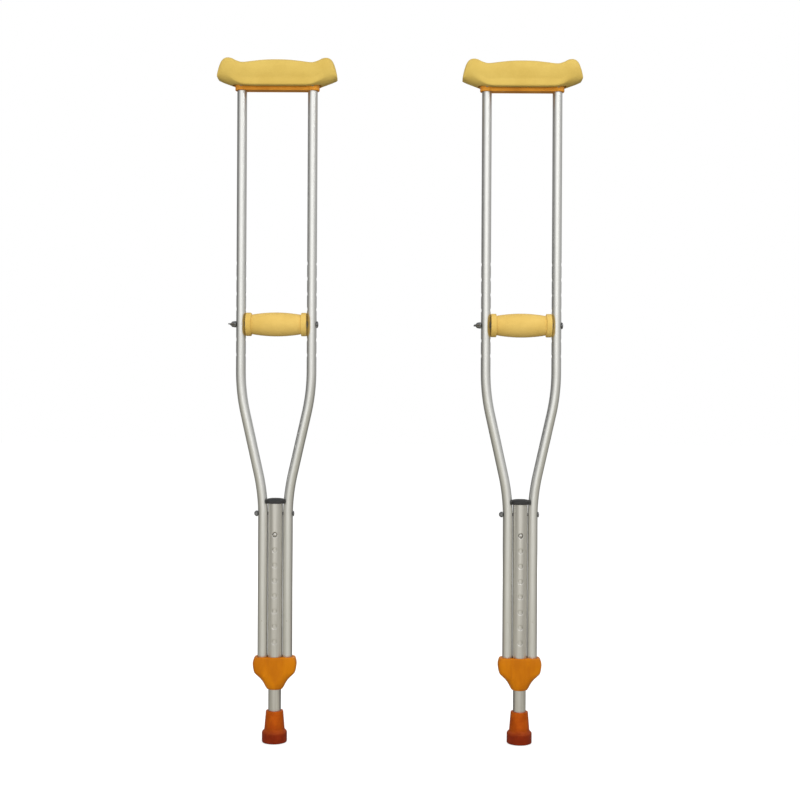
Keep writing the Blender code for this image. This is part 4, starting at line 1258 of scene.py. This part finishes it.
# %% The cap nut
nut_low, nut_high = own_box("frame_nut")
NUT_FLATS = 0.008
NUT_HEIGHT = 0.0038
NUT_CROWN_SHARE = 0.92
NUT_TOP_SHARE = 0.97
NUT_FACE_SHARE = 0.99
NUT_TOP_TURNED = 0.0007
NUT_FACE_TURNED = 0.0005
NUT_PAST_CORNER = 0.0004
NUT_CROWN_SUNK = 0.001
NUT_DOME = nut_high.x - nut_low.x - NUT_HEIGHT
nut_half = NUT_FLATS / 2
nut_corner = nut_half / math.cos(math.pi / 6)
hexagon = skin("hexagon", [
    [(0, 0, 0)], circle(nut_corner, 0, 6), circle(nut_corner, NUT_HEIGHT, 6), [(0, 0, NUT_HEIGHT)]
])
hexagon.data.shade_flat()
turned_past = nut_corner + NUT_PAST_CORNER
turning = lathe("turning", [
    (0, NUT_HEIGHT), (NUT_TOP_SHARE * nut_half, NUT_HEIGHT), (turned_past, NUT_HEIGHT - NUT_TOP_TURNED),
    (turned_past, NUT_FACE_TURNED), (NUT_FACE_SHARE * nut_half, 0), (0, 0),
])
combine(hexagon, [crisp(turning, degrees=20)], "INTERSECT")
crown_radius = NUT_CROWN_SHARE * nut_half
crown_foot = [(crown_radius, NUT_CROWN_SUNK), (0, NUT_CROWN_SUNK)]
crown = lathe("crown", dome(crown_radius, NUT_HEIGHT, NUT_DOME) + crown_foot)
combine(hexagon, [crisp(crown, degrees=30)], "UNION")
combine(hexagon, [crisp(plug(FRAME_BOLT_DIAMETER / 2 + FIT, -TOOL_PAST, NUT_HEIGHT), degrees=30)])
show(turn(hexagon, ALONG_MINUS_X, (nut_high.x, 0, FRAME_BOLT_Z)), "frame_nut", ZINC)

# %% [markdown]
# ## The wing nut
# A wing nut is a casting: hub and wings flow into each other with a fillet everywhere. Joining them and then
# remeshing the whole in fine voxels, with a little smoothing, gives those fillets for nothing. The bore comes
# last, so that it stays round.

# %% The wing nut
NUT_HUB_WALL = 0.00225
NUT_HUB_TOP_WALL = 0.0013
NUT_HUB_LENGTH = 0.0070
WING_THICKNESS = 0.0023
WING_REACH = 0.0130
WING_HEIGHT = 0.0113
WING_LOBE = 0.0021
WING_ARM = ((1.0, 0.12), (1.75, 0.24))
WING_ROOT = ((0.3, 0.85), (0.3, 0.12))
LOBE_ANGLES = np.radians(np.linspace(-40, 155, 13))
WING_SECTION = ((-1.0, 0.80), (-0.82, 0.93), (-0.4, 1.0), (0.4, 1.0), (0.82, 0.93), (1.0, 0.80))
NUT_VOXEL = 0.00022
MELT_FACTOR = 0.5
MELT_STEPS = 6

hub_crown = GRIP_BOLT_DIAMETER / 2 + NUT_HUB_TOP_WALL
hub_base = GRIP_BOLT_DIAMETER / 2 + NUT_HUB_WALL


def wing_outline():
    """One wing in (y, z): an arm that rises outwards from the hub to a round lobe.

    Arm and root are given as shares of the hub's radius at its top and of its length.
    """
    lobe = [
        (WING_REACH + WING_LOBE * (math.cos(angle) - 1), WING_HEIGHT + WING_LOBE * (math.sin(angle) - 1))
        for angle in LOBE_ANGLES
    ]
    arm, root = ([(out * hub_crown, up * NUT_HUB_LENGTH) for out, up in row] for row in (WING_ARM, WING_ROOT))
    return arm + lobe + root


def wing(way):
    """A wing as a flat plate, lens-shaped in section so that its rim is thinner."""
    outline = [(way * y, z) for y, z in wing_outline()]
    centre = np.mean(outline, axis=0)
    rings = []
    for share, shrink in WING_SECTION:
        points = centre + (np.array(outline) - centre) * shrink
        rings.append([(share * WING_THICKNESS / 2, y, z) for y, z in points])
    ends = [[(x, *centre)] for x in (-WING_THICKNESS / 2, WING_THICKNESS / 2)]
    return skin("wing", [ends[0], *rings, ends[1]])


hub = lathe("hub", soften([
    (0, NUT_HUB_LENGTH), (hub_crown, NUT_HUB_LENGTH, 0.0004), (hub_base, 0.3 * NUT_HUB_LENGTH, 0.0012),
    (hub_base, 0, 0.0003), (0, 0),
]))
combine(hub, [wing(-1), wing(1)], "UNION")
remesh = hub.modifiers.new("cast", "REMESH")
remesh.mode = "VOXEL"
remesh.voxel_size = NUT_VOXEL
remesh.use_smooth_shade = True
melt = hub.modifiers.new("melt", "SMOOTH")
melt.factor = MELT_FACTOR
melt.iterations = MELT_STEPS
settle(hub)
hub.data.shade_smooth()
combine(hub, [crisp(plug(GRIP_BOLT_DIAMETER / 2 + FIT, -TOOL_PAST, NUT_HUB_LENGTH + TOOL_PAST), degrees=30)])
_, wing_high = own_box("wing_nut")
show(turn(hub, ALONG_MINUS_X, (wing_high.x, 0, GRIP_Z)), "wing_nut", ZINC)

# %% [markdown]
# ## The crossbar
# The top moulding is a round boss at each bow, joined by a narrower web. Its outline is the larger of the boss
# and the web at every place along it, blended softly where they meet, so the inner corners get the fillet that
# a mould needs. A flange on top, which the foam grips, and the sockets and rivet holes are then added and cut.

# %% The crossbar
SOCKET_WALL = 0.00295
WEB_STEP = 0.00225
CROSSBAR_EDGE = 0.0013
FLANGE_HEIGHT = 0.0030
FLANGE_OVERHANG = 0.0035
FLANGE_ROOT = 0.0020
FLANGE_EDGE = 0.0006
BLEND = 0.0016
BLEND_REACH = 1.3
BOSS_STEPS = 24
BLEND_STEPS = 41
WEB_STEPS = 60
EDGE_STEPS = 5
SLOT_STEPS = 24

boss = BOW_RADIUS + FIT + SOCKET_WALL
web = boss - WEB_STEP


def soft_max(a, b, blend):
    """The larger of two lengths, rounded off where they are nearly equal."""
    near = max(blend - abs(a - b), 0) / blend
    return max(a, b) + near ** 2 * blend / 4


def crossbar_outline():
    """Points (x, y) round the bar: a quarter, from the boss's end to the web's middle, and its mirrors."""
    angles = quarter_turn(BOSS_STEPS)[:-1]
    quarter = [(BOW_SPREAD + boss * math.cos(a), boss * math.sin(a)) for a in angles]
    places = [BOW_SPREAD - BLEND_REACH * boss * i / BLEND_STEPS for i in range(BLEND_STEPS)]
    places += [BOW_SPREAD * (1 - i / WEB_STEPS) for i in range(BLEND_STEPS, WEB_STEPS)]
    for x in places:
        boss_y = math.sqrt(max(boss ** 2 - (x - BOW_SPREAD) ** 2, 0))
        quarter.append((x, soft_max(boss_y, web, BLEND)))
    half = quarter + [(-x, y) for x, y in reversed(quarter)]
    return half + [(x, -y) for x, y in reversed(half[1:-1])]


def plate(name, outline, bottom, top, edge=0.0):
    """An outline raised to a plate, its rims rounded by an inset that follows a quarter circle."""
    outline = np.array(outline)
    tangent = np.roll(outline, -1, 0) - np.roll(outline, 1, 0)
    outward = np.stack((tangent[:, 1], -tangent[:, 0]), 1)
    outward /= np.linalg.norm(outward, axis=1)[:, None]
    angles = quarter_turn(EDGE_STEPS) if edge else [0]
    rims = [(edge * (1 - math.sin(a)), edge * (1 - math.cos(a))) for a in angles]
    levels = [(inset, bottom + rise) for inset, rise in rims]
    levels += [(inset, top - rise) for inset, rise in reversed(rims)]
    body = [[(*point, z) for point in outline - inset * outward] for inset, z in levels]
    return skin(name, body, lids=True)


def slot_outline(half_length, half_depth):
    """A straight slot with round ends."""
    angles = [math.pi * (i / SLOT_STEPS - 0.5) for i in range(SLOT_STEPS + 1)]
    right = [(half_length - half_depth + half_depth * math.cos(a), half_depth * math.sin(a)) for a in angles]
    return right + [(-x, -y) for x, y in right]


bar_top = crossbar_high.z - FLANGE_HEIGHT
bar = crisp(plate("crossbar", crossbar_outline(), crossbar_low.z, bar_top, CROSSBAR_EDGE), degrees=50)
flange_half_depth = boss + FLANGE_OVERHANG
flange_half_length = BOW_SPREAD + flange_half_depth
flange_outline = slot_outline(flange_half_length, flange_half_depth)
flange = crisp(plate("flange", flange_outline, bar_top - FLANGE_ROOT, crossbar_high.z, FLANGE_EDGE), degrees=50)
combine(bar, [flange], "UNION")
sockets = []
for x in (-BOW_SPREAD, BOW_SPREAD):
    sockets.append(bore_tool(BOW_RADIUS + FIT, crossbar_low.z, bow_high.z + FIT, x))
    sockets.append(drills(plain_bit(RIVET_HOLE_DIAMETER, boss), (x, 0, RIVET_Z), ALONG_Y))
combine(bar, sockets)
show(bar, "crossbar", BOUNCE_LIT_ORANGE)

# %% [markdown]
# ## The underarm pad
# The pad is the piece that a user feels, and the one the eye goes to first. It is a saddle: crowned in the
# middle, dipped over each bow, and raised to a horn at each end. Below the main swell a shallow crease runs
# along it, and under the crease a lip flares out a little and catches the light. It is moulded foam, not sewn
# cloth, so nothing needs to be draped: the skin is drawn over sections whose top and lip follow two smooth
# lines. Towards the ends the lip melts into a round underside, the plan narrows, and each section leans as
# spokes do, so the end face is as clean as the sides. A half section is written as shares of depth and height,
# from under the middle, over lip and crease, to the crown.

# %% The underarm pad
pad_low, _ = own_box("underarm_pad")
PAD_SECTIONS = 150
PAD_POINTS = 112


def pad_stations():
    """Rows of top (x, z), lip (x, z) and half depth, from the middle to the right end.

    Heights are measured up from the pad's lowest edge.
    """
    return [
        (0.0000, 0.0450, 0.0000, 0.0000, 0.0250),
        (0.0200, 0.0444, 0.0200, 0.0000, 0.0250),
        (0.0390, 0.0424, 0.0390, 0.0001, 0.0250),
        (0.0560, 0.0405, 0.0555, 0.0006, 0.0250),
        (0.0660, 0.0430, 0.0650, 0.0018, 0.0248),
        (0.0745, 0.0472, 0.0725, 0.0036, 0.0243),
        (0.0820, 0.0481, 0.0790, 0.0055, 0.0234),
        (0.0878, 0.0457, 0.0845, 0.0074, 0.0222),
        (0.0918, 0.0405, 0.0890, 0.0091, 0.0208),
        (0.0945, 0.0335, 0.0925, 0.0108, 0.0192),
        (0.0965, 0.0262, 0.0952, 0.0122, 0.0173),
        (0.0976, 0.0205, 0.0970, 0.0136, 0.0155),
        (0.0978, 0.0175, 0.0976, 0.0148, 0.0140),
    ]


PAD_LIP_SECTION = [
    (0.00, 0.000), (0.90, 0.000), (0.985, 0.012, 0.03), (1.000, 0.060, 0.04), (0.955, 0.262, 0.03),
    (0.935, 0.285, 0.02), (0.965, 0.320, 0.04), (0.995, 0.480, 0.15), (0.975, 0.700, 0.15),
    (0.880, 0.880, 0.15), (0.660, 0.965, 0.18), (0.330, 0.995, 0.20), (0.00, 1.000),
]
PAD_END_SECTION = [
    (0.00, 0.000), (0.34, 0.012, 0.15), (0.66, 0.085, 0.20), (0.88, 0.230, 0.20), (0.985, 0.430, 0.20),
    (0.985, 0.640, 0.15), (0.880, 0.860, 0.15), (0.640, 0.960, 0.18), (0.320, 0.994, 0.20), (0.00, 1.000),
]
PAD_LIP_ENDS = (0.050, 0.088)


def resample(points, count):
    """Evenly spaced points along an outline."""
    points = np.array(points)
    along = np.concatenate(([0], np.cumsum(np.linalg.norm(np.diff(points, axis=0), axis=1))))
    at = np.linspace(0, along[-1], count)
    return np.stack([np.interp(at, along, points[:, k]) for k in range(points.shape[1])], 1)


def spline(rows, count):
    """A Catmull-Rom curve through the rows, whatever they hold."""
    rows = np.array(rows)
    padded = np.vstack((2 * rows[0] - rows[1], rows, 2 * rows[-1] - rows[-2]))
    at = np.linspace(0, len(rows) - 1, count)
    k = np.minimum(at.astype(int), len(rows) - 2)
    t = (at - k)[:, None]
    a, b, c, d = (padded[k + step] for step in range(4))
    return 0.5 * (2 * b + (c - a) * t + (2 * a - 5 * b + 4 * c - d) * t ** 2 + (3 * b - a - 3 * c + d) * t ** 3)


def pad_section(corners):
    """A whole section round the pad, from half of one: under the middle, up one side, over and down."""
    half = resample(soften(corners, steps=4), PAD_POINTS // 2 + 1)
    return np.vstack((half, half[-2:0:-1] * np.array([-1, 1])))


def pad_rings():
    """The pad's sections from its left end to its right end."""
    half = np.array(pad_stations())
    mirrored = half[:0:-1] * np.array([-1, 1, -1, 1, 1])
    lipped = pad_section(PAD_LIP_SECTION)
    rounded = pad_section(PAD_END_SECTION)
    rings = []
    lip_start, lip_end = PAD_LIP_ENDS
    for top_x, top_z, lip_x, lip_z, depth in spline(np.vstack((mirrored, half)), PAD_SECTIONS):
        share = np.clip((abs(lip_x) - lip_start) / (lip_end - lip_start), 0, 1)
        ring = []
        for across, rise in lipped + (rounded - lipped) * share * share * (3 - 2 * share):
            x = lip_x + (top_x - lip_x) * rise
            ring.append((x, -across * depth, pad_low.z + lip_z + (top_z - lip_z) * rise))
        rings.append(ring)
    return rings


pad_skin = pad_rings()
pad_ends = [[tuple(np.mean(ring, axis=0))] for ring in (pad_skin[0], pad_skin[-1])]
pad = skin("pad", [pad_ends[0], *pad_skin, pad_ends[1]])
cavity_outline = slot_outline(flange_half_length + FIT, flange_half_depth + FIT)
cavity = crisp(plate("cavity", cavity_outline, pad_low.z - TOOL_PAST, crossbar_high.z + FIT), degrees=50)
combine(pad, [cavity])
show(pad, "underarm_pad", PAD_FOAM)

# %% [markdown]
# ## What stays as it was built
# Three pieces are never seen from outside and have the right shape already: the grip's core, the V spring and
# the washer in the tip. They keep their CAD meshes and only take a finish.

# %% Finishes for the hidden pieces
for piece, finish in (("grip_core", GREY), ("button_spring", SPRING), ("tip_washer", ZINC)):
    for side in SIDES:
        slots = frame["nodes"][f"{side}_{piece}"].material_slots
        for slot in slots:
            slot.material = finish
        print(f"{side}_{piece}:", len(slots), "slot")

# %% [markdown]
# ## The studio
# A bright tube on a white ground is drawn by what it reflects, so the world is a soft grey room: white before
# the object, where the camera stands, dark at the left and half dark at the right, with a dimmer ceiling. A
# ramp holds the levels of its walls by bearing. Only metal and gloss mirror that room; foam and plastic are lit
# by an even fill, by a broad lamp beside the camera and by a weaker one behind the crutches. A small lamp high
# on the right puts a spark on rims and domes. The floor is plain and pale, and keeps a shadow.
#
# The camera comes first, because it decides what the room has to show. It looks level and straight at the
# pair from about two metres, at half their height, so that both crutches stand upright in the picture.

# %% Camera
CAMERA_PLACE = (0.0026, -2.120, 0.561)
CAMERA_ROLL = math.radians(-0.28)
CAMERA_LENS = 58.17
CAMERA_SENSOR = 36

camera_data = bpy.data.cameras.new("camera")
camera_data.lens = CAMERA_LENS
camera_data.sensor_width = CAMERA_SENSOR
camera = add_object("camera", camera_data)
camera.location = CAMERA_PLACE
camera.rotation_euler = (math.pi / 2, CAMERA_ROLL, 0)
bpy.context.scene.camera = camera
print("camera at", CAMERA_PLACE, "with a lens of", CAMERA_LENS, "mm")

# %% World and floor
STUDIO = [
    (-180, 0.29), (-150, 0.20), (-110, 0.12), (-85, 0.125), (-56, 0.36), (-30, 0.70), (-8, 0.99), (12, 0.97),
    (42, 0.56), (68, 0.40), (100, 0.33), (140, 0.31), (180, 0.29),
]
STUDIO_LEVEL = 1.38
STUDIO_FILL = 0.80
CEILING = 0.36
FLOOR_GLOW = [
    (-180, 0.11), (-131, 0.18), (-94, 0.33), (-66, 0.47), (-42, 0.55), (-21, 0.58), (0, 0.575), (21, 0.555),
    (42, 0.50), (66, 0.465), (94, 0.37), (131, 0.16), (180, 0.10),
]
FLOOR_GREY = (0.50, 0.50, 0.50)
FLOOR_BOUNCE = (0.28, 0.275, 0.27)
FLOOR_LIFT = 0.64
FLOOR_TINT = (1.0, 0.965, 0.84)
FLOOR_HALF = 14
FLOOR_DROP = 0.0003
OVERHEAD = (0.25, 0.9)
HORIZON = (-0.04, 0.06)
GROUND_SHADE = 0.62
WHITE = (1, 1, 1)

scene = bpy.context.scene
scene.view_settings.view_transform = "Standard"


def level_by_bearing(graph, direction, levels):
    """How bright it is in a direction, by its bearing: 0 is the camera's, and right is positive."""
    across = graph.axis(direction, "X")
    bearing = across.math("ARCTAN2", across, -1 * graph.axis(direction, "Y"))
    stops = [(degrees / 360 + 0.5, level) for degrees, level in levels]
    share = bearing / (2 * math.pi) + 0.5
    ramp = graph.add("ShaderNodeValToRGB", {"stops": stops}, {"Fac": share}, output="Color")
    return graph.add("ShaderNodeRGBToBW", inputs={"Color": ramp})


def ray(graph, kind):
    return graph.add("ShaderNodeLightPath", output=f"Is {kind} Ray")


def by_ray(graph, kind, others, seen):
    """One shader for rays of a kind, and another for all others."""
    return graph.add("ShaderNodeMixShader", inputs={0: ray(graph, kind), 1: others, 2: seen})


def light(graph, kind, level, colour=WHITE):
    return graph.add(f"ShaderNode{kind}", inputs={"Color": colour, "Strength": level})


def matt(graph, colour):
    return graph.add("ShaderNodeBsdfDiffuse", inputs={"Color": colour})


def bare_graph(owner):
    """The emptied node tree of a world or a material."""
    owner.use_nodes = True
    owner.node_tree.nodes.clear()
    return Graph(owner.node_tree)


def finish_surface(graph, kind, shader):
    output = graph.tree.nodes.new(kind)
    graph.feed(output.inputs["Surface"], shader)


world = bpy.data.worlds.new("studio")
scene.world = world
sky = bare_graph(world)
sky_direction = sky.add("ShaderNodeTexCoord", output="Generated")
sky_height = sky.axis(sky_direction, "Z")
overhead = sky.range(sky_height, *OVERHEAD)
near_ground = sky.range(sky_height, *HORIZON, GROUND_SHADE)
around = level_by_bearing(sky, sky_direction, STUDIO)
mirrored = STUDIO_LEVEL * near_ground * (around * (1 - overhead) + CEILING * overhead)
sky_level = STUDIO_FILL + (mirrored - STUDIO_FILL) * ray(sky, "Glossy")
sky_look = by_ray(sky, "Camera", light(sky, "Background", sky_level), light(sky, "Background", 1.0))
finish_surface(sky, "ShaderNodeOutputWorld", sky_look)

floor_material = bpy.data.materials.new("floor_white")
ground = bare_graph(floor_material)
ground_place = ground.add("ShaderNodeTexCoord", output="Object")
lift = light(ground, "Emission", FLOOR_LIFT)
lifted = ground.add("ShaderNodeAddShader", inputs={0: matt(ground, FLOOR_GREY), 1: lift})
dim = light(ground, "Emission", level_by_bearing(ground, ground_place, FLOOR_GLOW), FLOOR_TINT)
unseen = by_ray(ground, "Glossy", matt(ground, FLOOR_BOUNCE), dim)
finish_surface(ground, "ShaderNodeOutputMaterial", by_ray(ground, "Camera", unseen, lifted))

bm = bmesh.new()
bmesh.ops.create_grid(bm, x_segments=1, y_segments=1, size=FLOOR_HALF)
floor = turn(object_from("floor", bm), place=(0, 0, -FLOOR_DROP))
floor.data.materials.append(floor_material)
print("the room mirrored by metal is", STUDIO_LEVEL, "at its brightest, and the fill is", STUDIO_FILL)

# %% The lamps
LAMP_AIM = (0, 0, 0.55)


def softbox(name, place, size, watts):
    data = bpy.data.lights.new(name, "AREA")
    data.shape = "SQUARE"
    data.size = size
    data.energy = watts
    lamp = add_object(name, data)
    lamp.location = place
    lamp.rotation_euler = (Vector(LAMP_AIM) - Vector(place)).to_track_quat("-Z", "Y").to_euler()
    return lamp


key = softbox("key", (-0.2, -2.4, 0.85), 0.8, 27)
back = softbox("back", (0.3, 2.4, 1.2), 0.8, 18)
for broad in (key, back):
    broad.visible_glossy = False
spark = softbox("spark", (1.3, -1.5, 2.2), 0.7, 9)
for lamp in (key, back, spark):
    print(lamp.name, [round(part, 2) for part in lamp.location], lamp.data.energy, "W")
